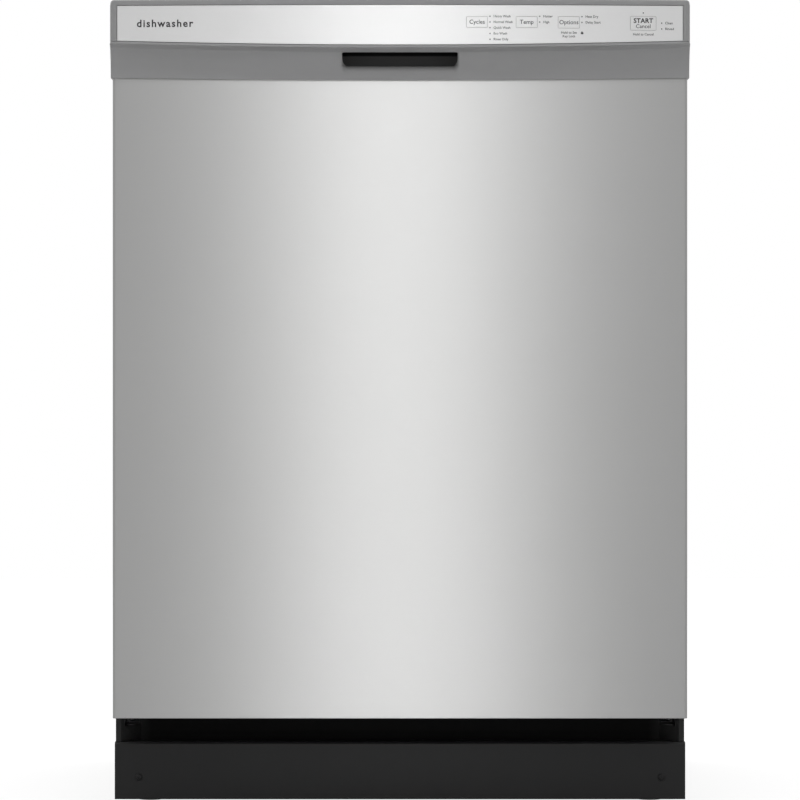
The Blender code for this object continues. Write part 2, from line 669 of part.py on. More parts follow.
def make_blanket():
    shell = add("insulation_blanket", box((-0.2965, -0.1860, 0.1400), (0.2965, Y_BACK, 0.8435)),
                "blanket_felt")
    room = box((-TUB_HALF - 0.0015, -0.20, 0.10), (TUB_HALF + 0.0015, Y_TUB_BACK + 0.0015, TUB_TOP + 0.0015))
    combine(shell, "DIFFERENCE", [room])


def make_sump():
    def ring(half, front, back, z, radius):
        return [(x, y, z) for x, y in rounded((-half, front), (half, back), radius, 2)]

    half, front, back = SUMP_HALF, SUMP_FRONT, SUMP_BACK
    under = TUB_BOTTOM - GAP
    rings = [
        ring(half - 0.020, front + 0.020, back - 0.020, 0.0480, 0.020),
        ring(half - 0.006, front + 0.006, back - 0.006, 0.0700, 0.022),
        ring(half + 0.002, front - 0.002, back + 0.002, under - 0.003, 0.022),
        ring(half + 0.012, front - 0.012, back + 0.012, under - 0.003, 0.026),
        ring(half + 0.012, front - 0.012, back + 0.012, under, 0.026),
        ring(half - 0.001, front + 0.001, back - 0.001, under, 0.020),
        ring(half - 0.009, front + 0.009, back - 0.009, 0.0710, 0.020),
        ring(half - 0.022, front + 0.022, back - 0.022, 0.0505, 0.018),
    ]
    add("sump_housing", loft(rings), "black_plastic")
    plate_z = TUB_BOTTOM + TUB_WALL
    edge = 0.0006
    plate = prism(rounded((-half + edge, front + edge), (half - edge, back - edge), 0.0195, 2),
                  "Z", plate_z - 0.0020, plate_z)
    grid = []
    for ix in range(-2, 3):
        for y in (-0.040, -0.020, 0.058):
            if abs(ix) * 0.024 < 0.06:
                grid.append(box((ix * 0.026 - 0.009, y - 0.006, 0.11), (ix * 0.026 + 0.009, y + 0.006, 0.14)))
    hub = drum("Z", ((0.11, 0.0165), (0.14, 0.0165)), (0, SPRAY_Y), 16)
    well = drum("Z", ((0.11, 0.0385), (0.14, 0.0385)), (0, FILTER_Y), 20)
    combine(add("filter_plate", plate, "rack_grey"), "DIFFERENCE", [hub, well, *grid])
    can = drum("Z", ((0.0660, 0.034), (0.1280, 0.037), (0.1320, 0.037), (0.1380, 0.034)), (0, FILTER_Y), 20)
    filter_can = add("filter_cylinder", can, "rack_grey")
    bore = drum("Z", ((0.0700, 0.024), (0.15, 0.026)), (0, FILTER_Y), 16)
    knob = box((-0.030, FILTER_Y - 0.003, 0.1290), (0.030, FILTER_Y + 0.003, 0.1450))
    combine(filter_can, "DIFFERENCE", [bore])
    combine(filter_can, "UNION", [knob])


def make_pumps():
    motor = drum("X", ((0.0790, 0.024), (0.0960, 0.024), (0.0960, 0.042), (0.1180, 0.042), (0.1180, 0.036),
                       (0.1960, 0.036), (0.1990, 0.030)), (-0.0200, 0.0790), 20)
    add("wash_motor", motor, "black_plastic")
    drain = drum("X", ((-0.0790, 0.016), (-0.0920, 0.016), (-0.0920, 0.028), (-0.1080, 0.028),
                       (-0.1080, 0.022), (-0.1500, 0.022)), (-0.0600, 0.0700), 16)
    pump = add("drain_pump", drain, "white_plastic")
    combine(pump, "UNION", [drum("Y", ((-0.0620, 0.009), (-0.0100, 0.009)), (-0.1000, 0.0860), 12)])


def make_inlet_valve():
    valve = add("inlet_valve", box((-0.245, -0.150, 0.0320), (-0.205, -0.100, 0.0600)), "white_plastic")
    parts = [drum("Z", ((0.0550, 0.014), (0.0950, 0.014)), (-0.225, -0.118), 14),
             drum("Y", ((-0.1780, 0.013), (-0.1450, 0.013)), (-0.225, 0.0480), 14)]
    combine(valve, "UNION", parts)


def make_junction_box():
    cover = add("junction_box", box((0.180, -0.180, 0.0310), (0.247, -0.100, 0.0720)), "galvanised_steel")
    combine(cover, "DIFFERENCE", [box((0.182, -0.178, 0.0330), (0.245, -0.102, 0.0800)),
                                  drum("X", ((0.17, 0.011), (0.19, 0.011)), (-0.140, 0.0500), 14)])


def make_heater():
    z, half, radius = 0.1540, 0.185, 0.0040
    front, back = SPRAY_Y - 0.165, SPRAY_Y + 0.165
    cut = 0.045
    route = [(0.030, front - 0.030, 0.1300), (0.030, front - 0.030, z), (0.030, front, z)]
    route += [(half - cut, front, z), (half, front + cut, z), (half, back - cut, z), (half - cut, back, z)]
    route += [(-half + cut, back, z), (-half, back - cut, z), (-half, front + cut, z)]
    route += [(-half + cut, front, z)]
    route += [(-0.030, front, z), (-0.030, front - 0.030, z), (-0.030, front - 0.030, 0.1300)]
    add("heating_element", sweep(route, radius, 6), "heater_metal")


def make_float():
    x, y = 0.155, -0.188
    stations = ((0.1284, 0.018), (0.1500, 0.018), (0.1560, 0.013))
    add("float_dome", drum("Z", stations, (x, y), 16), "white_plastic", (x, y, 0.1284))


def spray_arm(name, z, radius, hub_low, hub_high, material_name):
    """A flat two-bladed arm with a round hub, turning about Z."""
    tip, root = 0.012, 0.026
    blade = [(radius - 0.01, -tip), (radius, -tip * 0.5), (radius, tip * 0.5), (radius - 0.01, tip)]
    blade.append((0, root))
    outline = blade + [(-x, -y) for x, y in blade]
    low = [(x, y * 0.7) for x, y in outline]
    turn = Matrix.Rotation(math.radians(28), 3, "Z")

    def level(points, height):
        return [turn @ Vector((x, y, 0)) + Vector((0, SPRAY_Y, height)) for x, y in points]

    body = loft([level(low, z - 0.006), level(outline, z), level(low, z + 0.006)])
    arm = add(name, body, material_name, (0, SPRAY_Y, z))
    return combine(arm, "UNION", [drum("Z", ((hub_low, 0.015), (hub_high, 0.015)), (0, SPRAY_Y), 16)])


def make_sprays():
    spray_arm("lower_spray_arm", 0.1760, 0.222, 0.1200, 0.1880, "rack_grey")
    spray_arm("middle_spray_arm", 0.4480, 0.200, 0.4380, 0.4560, "rack_grey")
    y, r = 0.2740, 0.0085
    top = 0.8120
    route = [(0, 0.1050, 0.1400), (0, 0.2500, 0.1400), (0, y, 0.1640), (0, y, top - 0.022)]
    route += [(0, y - 0.022, top), (0, SPRAY_Y - 0.012, top)]
    tube = add("spray_feed_tube", sweep(route, r, 8), "rack_grey")
    dock = drum("Y", ((0.2560, 0.011), (0.2700, 0.011)), (0, 0.4640), 12)
    combine(tube, "UNION", [dock])
    nozzle = drum("Z", ((0.7820, 0.040), (0.7900, 0.040), (0.7940, 0.014), (0.8030, 0.014)), (0, SPRAY_Y), 20)
    add("top_spray_nozzle", nozzle, "rack_grey")


# ---------------------------------------------------------------- racks
def spread(lo, hi, count):
    return [lo + (hi - lo) * i / (count - 1) for i in range(count)]


def hoop_places():
    return spread(RACK_FRONT + 0.035, RACK_BACK - 0.035, 6)


def rack_wires(levels, along, half_top, floor_half):
    """Hoops both ways and closed rims, as separate bars that overlap where they cross."""
    low, middle, high = levels
    front, back = RACK_FRONT, RACK_BACK
    bars = []
    for y in hoop_places():
        bars.append(sweep([(-half_top, y, high), (-floor_half, y, low), (floor_half, y, low),
                           (half_top, y, high)], WIRE))
    for x in spread(-floor_half + 0.030, floor_half - 0.030, along):
        z = low + WIRE * 0.9
        bars.append(sweep([(x, front + WIRE, high), (x, front + 0.016, z), (x, back - 0.016, z),
                           (x, back - WIRE, high)], WIRE))
    share = (middle - low) / (high - low)
    middle_half = floor_half + (half_top - floor_half) * share
    for z, half, inset in ((high, half_top, 0.0015), (middle, middle_half, 0.0080)):
        corners = [(-half, front + inset), (half, front + inset), (half, back - inset), (-half, back - inset)]
        bars.append(sweep([(x, y, z) for x, y in corners], WIRE * 1.15, 4, closed=True))
    return bars


def make_lower_rack():
    bars = rack_wires(LOWER_RACK_Z, 7, RACK_HALF, 0.236)
    low = LOWER_RACK_Z[0]
    axle_z = LEDGE_TOP + WHEEL_R + GAP
    for side in (-1, 1):
        for y in WHEEL_Y:
            post = sweep([(side * 0.2385, y - 0.012, low + 0.001), (side * 0.2385, y, axle_z),
                          (side * 0.2385, y + 0.012, low + 0.001)], 0.0030)
            lo, hi = sorted((side * 0.2370, side * 0.2585))
            bars += [post, drum("X", ((lo, 0.0025), (hi, 0.0025)), (y, axle_z), 8)]
        bars.append(sweep([(side * 0.2380, RACK_FRONT + 0.030, low + 0.0012),
                           (side * 0.2380, RACK_BACK - 0.030, low + 0.0012)], 0.0030))
    fuse_self(add("lower_rack", merge(bars), "rack_grey"))
    for side, side_name in ((-1, "left"), (1, "right")):
        for y, y_name in zip(WHEEL_Y, ("front", "rear")):
            lo, hi = sorted((side * (WHEEL_X - 0.0055), side * (WHEEL_X + 0.0055)))
            wheel = sleeve("X", lo, hi, (y, axle_z), WHEEL_R, 0.0029, 16)
            add(f"lower_rack_wheel_{y_name}_{side_name}", wheel, "rack_grey", (side * WHEEL_X, y, axle_z))


def make_upper_rack():
    bars = rack_wires(UPPER_RACK_Z, 7, 0.2560, 0.2300)
    for side in (-1, 1):
        lo, hi = sorted((side * 0.2640, side * 0.2740))
        bars.append(box((lo, RACK_FRONT + 0.008, RUNNER_Z - 0.007), (hi, RACK_BACK, RUNNER_Z + 0.007)))
        for y in (RACK_FRONT + 0.050, 0.0215, RACK_BACK - 0.050):
            lo, hi = sorted((side * 0.2395, side * 0.2680))
            bars.append(box((lo, y - 0.004, RUNNER_Z - 0.0045), (hi, y + 0.004, RUNNER_Z + 0.0045)))
    hoops = hoop_places()
    for y in (hoops[1], hoops[4]):
        lo, hi = (-0.2500, y - 0.006, SHELF_Z - 0.008), (-SHELF_X[1] - 0.0038, y + 0.006, SHELF_Z + 0.008)
        bars.append(box(lo, hi))
    fuse_self(add("upper_rack", merge(bars), "rack_grey"))
    route = [(0, 0.2520, 0.4640), (0, SPRAY_Y + 0.006, 0.4640)]
    pipe = add("upper_rack_feed_pipe", sweep(route, 0.0075, 8), "rack_grey")
    combine(pipe, "UNION", [drum("Z", ((0.4565, 0.011), (0.4690, 0.011)), (0, SPRAY_Y), 12)])


def make_cup_shelf():
    """A wire shelf on the rack's left side that folds up about its outer wire."""
    x0, x1 = -SHELF_X[1], -SHELF_X[0]
    y0, y1 = -0.150, 0.190
    frame = sweep([(x0, y0, SHELF_Z), (x1, y0, SHELF_Z), (x1, y1, SHELF_Z), (x0, y1, SHELF_Z)], WIRE, 4, True)
    bars = [frame]
    for y in spread(y0 + 0.0485, y1 - 0.0485, 6):
        bars.append(sweep([(x0 - 0.0005, y, SHELF_Z + 0.001), (x1 + 0.0005, y, SHELF_Z + 0.001)], WIRE))
    fuse_self(add("cup_shelf", merge(bars), "rack_grey", (x0, 0, SHELF_Z)))


def make_rails():
    """C-shaped runners on the tub's walls that the upper rack's side bars slide in."""
    for name, side in (("upper_rail_left", -1), ("upper_rail_right", 1)):
        wall, mouth = TUB_HALF - TUB_WALL - GAP, 0.2655
        low, high, t = RUNNER_Z - 0.0100, RUNNER_Z + 0.0100, 0.0018
        outline = [(mouth, low), (wall, low), (wall, high), (mouth, high), (mouth, high - t),
                   (wall - t, high - t), (wall - t, low + t), (mouth, low + t)]
        outline = [(side * x, z) for x, z in outline]
        add(name, prism(outline, "Y", RACK_FRONT + 0.006, RACK_BACK + 0.010), "galvanised_steel")


def make_basket():
    """The cutlery basket: an open box with slotted sides, three cells and a handle."""
    (x0, y0, z0), (x1, y1, z1) = BASKET
    wall = 0.0022
    basket = add("silverware_basket", box((x0, y0, z0), (x1, y1, z1)), "rack_grey")
    third = (y1 - y0) / 3
    cells = []
    for i in range(3):
        lo = y0 + i * third + wall
        cells.append(box((x0 + wall, lo, z0 + wall), (x1 - wall, lo + third - 1.5 * wall, z1 + 0.01)))
    slots = []
    for i in range(3):
        centre = y0 + (i + 0.5) * third
        for dz in (0.030, 0.070):
            slots.append(box((x0 - 0.01, centre - 0.034, z0 + dz - 0.012),
                             (x1 + 0.01, centre + 0.034, z0 + dz + 0.012)))
    combine(basket, "DIFFERENCE", cells + slots)
    middle = (x0 + x1) / 2
    lo, hi = y0 + third + wall * 0.25, y0 + 2 * third + wall * 0.25
    handle = [(lo, z1 - 0.01), (lo, z1 + 0.040), (hi, z1 + 0.040), (hi, z1 - 0.01)]
    combine(basket, "UNION", [sweep([(middle, y, z) for y, z in handle], 0.0040, 6)])


# ---------------------------------------------------------------- base, legs and toe kick
def make_base():
    lo = (-BASE_HALF, Y_BASE_FRONT, BASE_BOTTOM)
    hi = (BASE_HALF, Y_BASE_BACK, BASE_TOP)
    base = add("base_frame", box(lo, hi), "black_plastic")
    wall = BASE_WALL
    room = box((lo[0] + wall, lo[1] + wall, lo[2] + wall), (hi[0] - wall, hi[1] - wall, hi[2] + 0.02))
    rear = box((-0.200, hi[1] - 0.01, 0.0450), (0.200, hi[1] + 0.01, 0.1050))
    combine(base, "DIFFERENCE", [room, rear])
    more, holes = [], []
    for side in (-1, 1):
        lo_x, hi_x = sorted((side * EAR_X[0], side * EAR_X[1]))
        more.append(box((lo_x, HINGE_Y - 0.0095, HINGE_Z - 0.012),
                        (hi_x, Y_BASE_FRONT + 0.001, HINGE_Z + 0.0092)))
        pin = sorted((side * (ARM_X[0] - 0.001), side * (EAR_X[0] + 0.001)))
        more.append(drum("X", ((pin[0], PIN_R), (pin[1], PIN_R)), (HINGE_Y, HINGE_Z), 16))
        tab = sorted((side * 0.264, side * 0.287))
        more.append(box((tab[0], Y_TOE + 0.0022, 0.0200), (tab[1], Y_BASE_FRONT + 0.001, 0.0440)))
        holes.append(drum("Y", ((-0.24, 0.0014), (-0.206, 0.0014)), (side * SCREW_X, SCREW_Z), 10))
        post = sorted((side * 0.2770, side * (BASE_HALF - 0.001)))
        more.append(box((post[0], HINGE_Y + 0.2440, BASE_BOTTOM + 0.001),
                        (post[1], HINGE_Y + 0.2520, 0.0520)))
        more += [prism([(side * x, y) for x, y in WING], "Z", TOE_TOP + GAP, WING_TOP),
                 prism([(side * x, y) for x, y in GUSSET], "Z", TOE_TOP + GAP, GUSSET_TOP)]
        slot = sorted((side * 0.2800, side * 0.2922))
        holes.append(box((slot[0], -0.21, 0.0860), (slot[1], -0.19, HINGE_Z - 0.002)))
        for y in LEG_Y:
            more.append(drum("Z", ((BASE_BOTTOM + 0.001, 0.011), (0.064, 0.011)), (side * LEG_X, y), 14))
            bore = LEG_SHAFT + LEG_CLEARANCE
            holes.append(drum("Z", ((0.01, bore), (0.08, bore)), (side * LEG_X, y), 12))
    combine(base, "UNION", more)
    combine(base, "DIFFERENCE", holes)


def make_legs():
    for side, side_name in ((-1, "left"), (1, "right")):
        for y, y_name in zip(LEG_Y, ("front", "rear")):
            x = side * LEG_X
            stations = ((0.0, 0.0150), (0.0080, 0.0150), (0.0080, LEG_SHAFT), (0.0700, LEG_SHAFT))
            add(f"leg_{y_name}_{side_name}", drum("Z", stations, (x, y), 12), "galvanised_steel", (x, y, 0))


def make_toe_kick():
    """A black folded sheet: face, top flange back to the base, and a small foot flange."""
    sheet = 0.0015
    back = Y_BASE_FRONT - 0.003
    outer = [(Y_TOE, TOE_BOTTOM), (Y_TOE, TOE_TOP - 0.002), (Y_TOE + 0.002, TOE_TOP), (back, TOE_TOP),
             (back, TOE_TOP - sheet), (Y_TOE + 0.0025, TOE_TOP - sheet),
             (Y_TOE + sheet, TOE_TOP - 0.0025), (Y_TOE + sheet, TOE_BOTTOM + sheet),
             (Y_TOE + 0.012, TOE_BOTTOM + sheet), (Y_TOE + 0.012, TOE_BOTTOM)]
    toe = add("toe_kick", prism(outer, "X", -TOE_HALF, TOE_HALF), "toe_black")
    holes = []
    for side in (-1, 1):
        holes.append(drum("Y", ((-0.25, 0.0024), (-0.22, 0.0024)), (side * SCREW_X, SCREW_Z), 12))
    combine(toe, "DIFFERENCE", holes)
    for name, side in (("toe_kick_screw_left", -1), ("toe_kick_screw_right", 1)):
        centre = (side * SCREW_X, SCREW_Z)
        stations = ((Y_TOE - 0.0024, 0.0022), (Y_TOE - 0.0014, 0.0036), (Y_TOE - GAP, 0.0040),
                    (Y_TOE - GAP, 0.0018), (Y_TOE + 0.0018, 0.0018), (Y_TOE + 0.0018, 0.0011),
                    (-0.2140, 0.0011))
        add(name, drum("Y", stations, centre, 12), "toe_black")


def build():
    clear_scene()
    make_materials()
    make_outer_panel()
    make_liner()
    make_console()
    make_fascia()
    make_buttons()
    make_control_board()
    make_handle_pocket()
    make_latch()
    make_dispenser()
    make_vent()
    for name, side in (("left", -1), ("right", 1)):
        make_hinge_arm(f"hinge_arm_{name}", side)
        make_hinge_spring(f"hinge_spring_{name}", side)
    make_tub()
    make_gasket()
    make_front_frame()
    make_brackets()
    make_blanket()
    make_sump()
    make_pumps()
    make_inlet_valve()
    make_junction_box()
    make_heater()
    make_float()
    make_sprays()
    make_rails()
    make_lower_rack()
    make_upper_rack()
    make_cup_shelf()
    make_basket()
    make_base()
    make_legs()
    make_toe_kick()


build()
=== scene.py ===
"""The looks of the built-in dishwasher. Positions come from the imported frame, in metres, with +Z up."""

import json
import math

import bmesh
import bpy
from mathutils import Matrix, Vector
from mathutils.noise import noise as noise_at


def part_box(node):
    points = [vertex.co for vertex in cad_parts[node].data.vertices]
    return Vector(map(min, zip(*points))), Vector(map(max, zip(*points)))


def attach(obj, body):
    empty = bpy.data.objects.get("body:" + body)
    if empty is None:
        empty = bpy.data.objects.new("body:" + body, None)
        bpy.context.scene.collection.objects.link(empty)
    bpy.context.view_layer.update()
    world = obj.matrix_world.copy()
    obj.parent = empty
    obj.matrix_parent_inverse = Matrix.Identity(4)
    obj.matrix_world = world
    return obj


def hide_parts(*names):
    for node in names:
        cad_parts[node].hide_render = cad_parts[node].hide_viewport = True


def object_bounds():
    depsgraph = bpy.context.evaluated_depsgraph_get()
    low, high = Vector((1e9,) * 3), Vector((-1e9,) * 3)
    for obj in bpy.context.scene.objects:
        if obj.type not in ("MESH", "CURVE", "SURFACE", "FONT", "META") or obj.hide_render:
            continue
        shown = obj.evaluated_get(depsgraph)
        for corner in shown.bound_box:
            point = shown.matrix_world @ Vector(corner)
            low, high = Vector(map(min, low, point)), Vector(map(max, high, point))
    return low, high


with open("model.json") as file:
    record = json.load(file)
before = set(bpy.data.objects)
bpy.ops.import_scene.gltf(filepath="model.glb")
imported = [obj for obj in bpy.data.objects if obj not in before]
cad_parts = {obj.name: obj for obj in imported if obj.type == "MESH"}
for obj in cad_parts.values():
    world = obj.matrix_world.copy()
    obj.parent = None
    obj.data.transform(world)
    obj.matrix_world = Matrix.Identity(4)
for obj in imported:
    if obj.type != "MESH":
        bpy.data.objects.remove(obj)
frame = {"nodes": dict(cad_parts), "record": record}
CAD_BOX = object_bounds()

NOSE_Y = CAD_BOX[0].y
NODES = frame["nodes"]
SLOT_OF = {part["node"]: part["material_slot"] for part in frame["record"]["subparts"]}
BODY_OF = {node: body for body, nodes in frame["record"]["behaviour"]["bodies"].items() for node in nodes}
MATERIALS = {}

# ---------------------------------------------------------------- camera and light
CAMERA_FROM_FRONT = 4.0
CAMERA_HEIGHT = 0.432
FRAME_WIDTH = 0.8352  # what the picture's width covers at the console's nose
LENS = 90.0
SKY = ((0.0, 0.25), (0.46, 0.42), (0.56, 0.51), (1.0, 0.98))  # place and grey, from straight down to up
LIGHTS = (  # name, place, aim, size, watts, spread in degrees
    ("strip", (-0.01, NOSE_Y - 8.6, 3.0), (-0.01, 0, 3.0), (0.58, 6.0), 32.5, 180),
    ("top", (0, 0.4, 3.2), (0, 0.3, 0.4), (3.2, 2.6), 28, 180),
    ("left", (-3.2, -1.2, 1.8), (0, 0, 0.5), (1.6, 2.6), 3, 180),
    ("right", (3.2, -1.2, 1.8), (0, 0, 0.5), (1.6, 2.6), 3, 180),
    ("back", (0, 3.6, 2.2), (0, 0, 0.5), (2.6, 2.2), 8, 180),
    ("pool", (0, -1.9, 1.0), (0, -1.9, 0), (0.3, 3.0), 4.5, 25),
)
FLOOR_RADIUS = 5
FLOOR_GLOW = 0.74  # how much of the paper's white is its own, so that shadows on it stay faint
FLOOR_SEEN, FLOOR_LIT = (0.33,) * 3, (0.54,) * 3  # the paper's grey to the camera and to other rays


def added(name, data):
    """A new object in the scene that holds some data."""
    obj = bpy.data.objects.new(name, data)
    bpy.context.scene.collection.objects.link(obj)
    return obj


def make_camera():
    data = bpy.data.cameras.new("camera")
    data.lens = LENS
    data.sensor_width = LENS * FRAME_WIDTH / CAMERA_FROM_FRONT
    data.clip_end = 50
    camera = added("camera", data)
    camera.location = (0, NOSE_Y - CAMERA_FROM_FRONT, CAMERA_HEIGHT)
    camera.rotation_euler = (math.pi / 2, 0, 0)
    bpy.context.scene.camera = camera


def area_light(name, place, aim, size, power, spread_angle):
    data = bpy.data.lights.new(name, "AREA")
    data.shape = "RECTANGLE"
    data.size, data.size_y = size
    data.energy = power
    data.spread = math.radians(spread_angle)
    light = added(name, data)
    light.location = place
    light.rotation_euler = (Vector(aim) - Vector(place)).to_track_quat("-Z", "Y").to_euler()


def make_world():
    """A pale room: bright above, mid grey at the sides and in front, white where the camera looks into it."""
    world = bpy.data.worlds.new("studio")
    bpy.context.scene.world = world
    world.use_nodes = True
    tree = world.node_tree
    ramp = new_node(tree, "ValToRGB", {0: spread(tree, generated(tree, "Z"), 0, 1, -1, 1)})
    stops = ramp.color_ramp.elements
    stops[0].position, stops[1].position = SKY[0][0], SKY[-1][0]
    for place, _ in SKY[1:-1]:
        stops.new(place)
    for stop, (_, grey) in zip(stops, SKY):
        stop.color = (grey, grey, grey, 1)
    fill(tree, tree.nodes["Background"], {0: mixed(tree, camera_ray(tree), ramp.outputs[0], (1, 1, 1))})


def make_stage():
    bpy.ops.mesh.primitive_circle_add(vertices=96, radius=FLOOR_RADIUS, fill_type="NGON", location=(0, 0, 0))
    floor = bpy.context.object
    floor.name = "floor"
    tree, shader = new_material("floor_paper", roughness=0.9)
    seen = camera_ray(tree)
    fill(tree, shader, {
        "Base Color": mixed(tree, seen, FLOOR_LIT, FLOOR_SEEN),
        "Emission Color": (1, 1, 1, 1),
        "Emission Strength": math_node(tree, "MULTIPLY", seen, FLOOR_GLOW),
        "Specular IOR Level": 0.1,
    })
    floor.data.materials.append(MATERIALS["floor_paper"])
    for light in LIGHTS:
        area_light(*light)


# ---------------------------------------------------------------- materials
def new_material(name, colour=(0.5, 0.5, 0.5), roughness=0.5, metallic=0.0):
    made = bpy.data.materials.new(name)
    made.use_nodes = True
    shader = made.node_tree.nodes["Principled BSDF"]
    shader.inputs["Base Color"].default_value = (*colour, 1)
    shader.inputs["Roughness"].default_value = roughness
    shader.inputs["Metallic"].default_value = metallic
    MATERIALS[name] = made
    return made.node_tree, shader


def fill(tree, node, values):
    """Gives a node's inputs their values: a socket is linked, and anything else is set."""
    for key, value in values.items():
        if isinstance(value, bpy.types.NodeSocket):
            tree.links.new(value, node.inputs[key])
        else:
            node.inputs[key].default_value = value


def new_node(tree, kind, values=None, **settings):
    node = tree.nodes.new("ShaderNode" + kind)
    for name, setting in settings.items():
        setattr(node, name, setting)
    fill(tree, node, values or {})
    return node


def camera_ray(tree):
    """1 for what the camera sees directly. Only the room and the staged floor use it."""
    return new_node(tree, "LightPath").outputs["Is Camera Ray"]


def generated(tree, axis):
    """The generated coordinate along an axis: 0 to 1 across a piece, or -1 to 1 by direction in a world."""
    coords = new_node(tree, "TexCoord").outputs["Generated"]
    return new_node(tree, "SeparateXYZ", {0: coords}).outputs[axis]


def math_node(tree, operation, *values):
    """One sum on sockets or numbers."""
    return new_node(tree, "Math", dict(enumerate(values)), operation=operation).outputs[0]


def mixed(tree, factor, first, second):
    """A blend of two colours, each given as a socket or as three numbers."""
    colours = [c if isinstance(c, bpy.types.NodeSocket) else (*c, 1) for c in (first, second)]
    return new_node(tree, "Mix", {0: factor, 6: colours[0], 7: colours[1]}, data_type="RGBA").outputs[2]


def mapped(tree, stretch):
    """Object coordinates multiplied by a stretch along each axis."""
    coords = new_node(tree, "TexCoord").outputs["Object"]
    return new_node(tree, "Mapping", {"Scale": stretch, "Vector": coords}).outputs[0]


def noise(tree, stretch, detail=3.0, rough=0.6):
    values = {"Scale": 1.0, "Detail": detail, "Roughness": rough, "Vector": mapped(tree, stretch)}
    return new_node(tree, "TexNoise", values).outputs[0]


def cells(tree, scale, feature="F1", output="Distance"):
    values = {"Scale": 1.0, "Vector": mapped(tree, (scale,) * 3)}
    return new_node(tree, "TexVoronoi", values, feature=feature).outputs[output]


def spread(tree, source, low, high, start=0.3, end=0.7):
    """A texture's value mapped onto a range."""
    values = {"Value": source, "From Min": start, "From Max": end, "To Min": low, "To Max": high}
    return new_node(tree, "MapRange", values).outputs[0]


def tint(tree, source, dark, light):
    """A texture's value as a colour between two others."""
    return mixed(tree, spread(tree, source, 0, 1), dark, light)


def bump(tree, source, distance, strength):
    """What a shader's Normal takes for a height texture."""
    return new_node(tree, "Bump", {"Height": source, "Distance": distance, "Strength": strength}).outputs[0]


def shades(colour, share):
    return [c * (1 - share) for c in colour], [c * (1 + share) for c in colour]


def brushed(name, colour, roughness):
    """Metal with fine brush lines across it."""
    tree, shader = new_material(name, colour, roughness, 1.0)
    lines = noise(tree, (6, 2600, 2600), 2, 0.5)
    bands = noise(tree, (0.6, 150, 150), 2, 0.5)
    fill(tree, shader, {
        "Base Color": tint(tree, lines, *shades(colour, 0.005)),
        "Roughness": spread(tree, bands, roughness - 0.001, roughness + 0.001),
        "Anisotropic": 0.9,
        "Anisotropic Rotation": 0.25,
        "Normal": bump(tree, lines, 0.0000002, 0.2),
    })


def painted_shade_black(name, dark, light, axis, low, high, shine):
    """Black plastic with painted shade: it darkens between two places along its box, across X from each end,
    as shade does in a recess, and its lighter colour is painted light.
    """
    tree, shader = new_material(name, dark, 0.5)
    place = generated(tree, axis)
    if axis == "X":
        place = math_node(tree, "PINGPONG", place, 0.5)
    grain = noise(tree, (1400,) * 3, 2, 0.5)
    fill(tree, shader, {
        # painted shade: the lit colour gives way to the shaded one between low and high
        "Base Color": mixed(tree, spread(tree, place, 0, 1, low, high), light, dark),
        "Roughness": spread(tree, grain, 0.45, 0.58),
        "Specular IOR Level": shine,
        "Normal": bump(tree, grain, 0.00002, 0.6),
    })


def moulded(name, colour, roughness, grain=0.00002, size=1400, coat=0.0, vary=0.04, shine=0.5):
    """Moulded plastic with a fine spark-eroded grain."""
    tree, shader = new_material(name, colour, roughness)
    pores = noise(tree, (size,) * 3, 2, 0.5)
    cloud = noise(tree, (14, 14, 14), 3, 0.5)
    fill(tree, shader, {
        "Base Color": tint(tree, cloud, *shades(colour, vary)),
        "Roughness": spread(tree, pores, roughness - 0.05, roughness + 0.05),
        "Specular IOR Level": shine,
        "Coat Weight": coat,
        "Coat Roughness": 0.2,
        "Normal": bump(tree, pores, grain, 0.6),
    })


def galvanised(name, colour):
    """Zinc-coated steel: each crystal catches the light a little differently."""
    tree, shader = new_material(name, colour, 0.42, 1.0)
    crystals = cells(tree, 160, output="Color")
    fill(tree, shader, {
        "Base Color": tint(tree, crystals, *shades(colour, 0.07)),
        "Roughness": spread(tree, crystals, 0.36, 0.46, 0, 1),
        "Normal": bump(tree, noise(tree, (60, 60, 60), 2), 0.0002, 0.25),
    })


def felt(name, colour):
    """Needled felt: short fibres lying every way."""
    tree, shader = new_material(name, colour, 0.95)
    fibres = noise(tree, (900, 240, 500), 5, 0.75)
    tufts = noise(tree, (45, 45, 45), 6, 0.7)
    both = math_node(tree, "MULTIPLY", spread(tree, fibres, 0.6, 1.4), tufts)
    dark, light = [c * 0.45 for c in colour], [c * 1.9 for c in colour]
    fill(tree, shader, {
        "Base Color": tint(tree, both, dark, light),
        "Sheen Weight": 0.35,
        "Sheen Roughness": 0.5,
        "Normal": bump(tree, math_node(tree, "ADD", fibres, tufts), 0.0012, 0.7),
    })


def rubber(name, colour):
    tree, shader = new_material(name, colour, 0.62)
    skin = noise(tree, (500, 500, 500), 3, 0.6)
    fill(tree, shader, {
        "Base Color": tint(tree, skin, *shades(colour, 0.12)),
        "Roughness": spread(tree, skin, 0.5, 0.72),
        "Normal": bump(tree, skin, 0.00005, 0.5),
    })


def heated_metal(name, colour):
    """A heater's sheath, darkened and straw-coloured in patches."""
    tree, shader = new_material(name, colour, 0.38, 1.0)
    patches = noise(tree, (22, 22, 22), 4, 0.6)
    fill(tree, shader, {
        "Base Color": tint(tree, patches, (0.14, 0.125, 0.12), (0.30, 0.25, 0.19)),
        "Roughness": spread(tree, noise(tree, (400, 400, 400)), 0.3, 0.5),
    })


def circuit(name, colour):
    """Solder mask over copper tracks."""
    tree, shader = new_material(name, colour, 0.35)
    tracks = cells(tree, 260, "DISTANCE_TO_EDGE")
    fill(tree, shader, {
        "Base Color": mixed(tree, spread(tree, tracks, 0, 1, 0.04, 0.10), [c * 2.2 for c in colour], colour),
        "Normal": bump(tree, tracks, 0.0002, 0.4),
    })


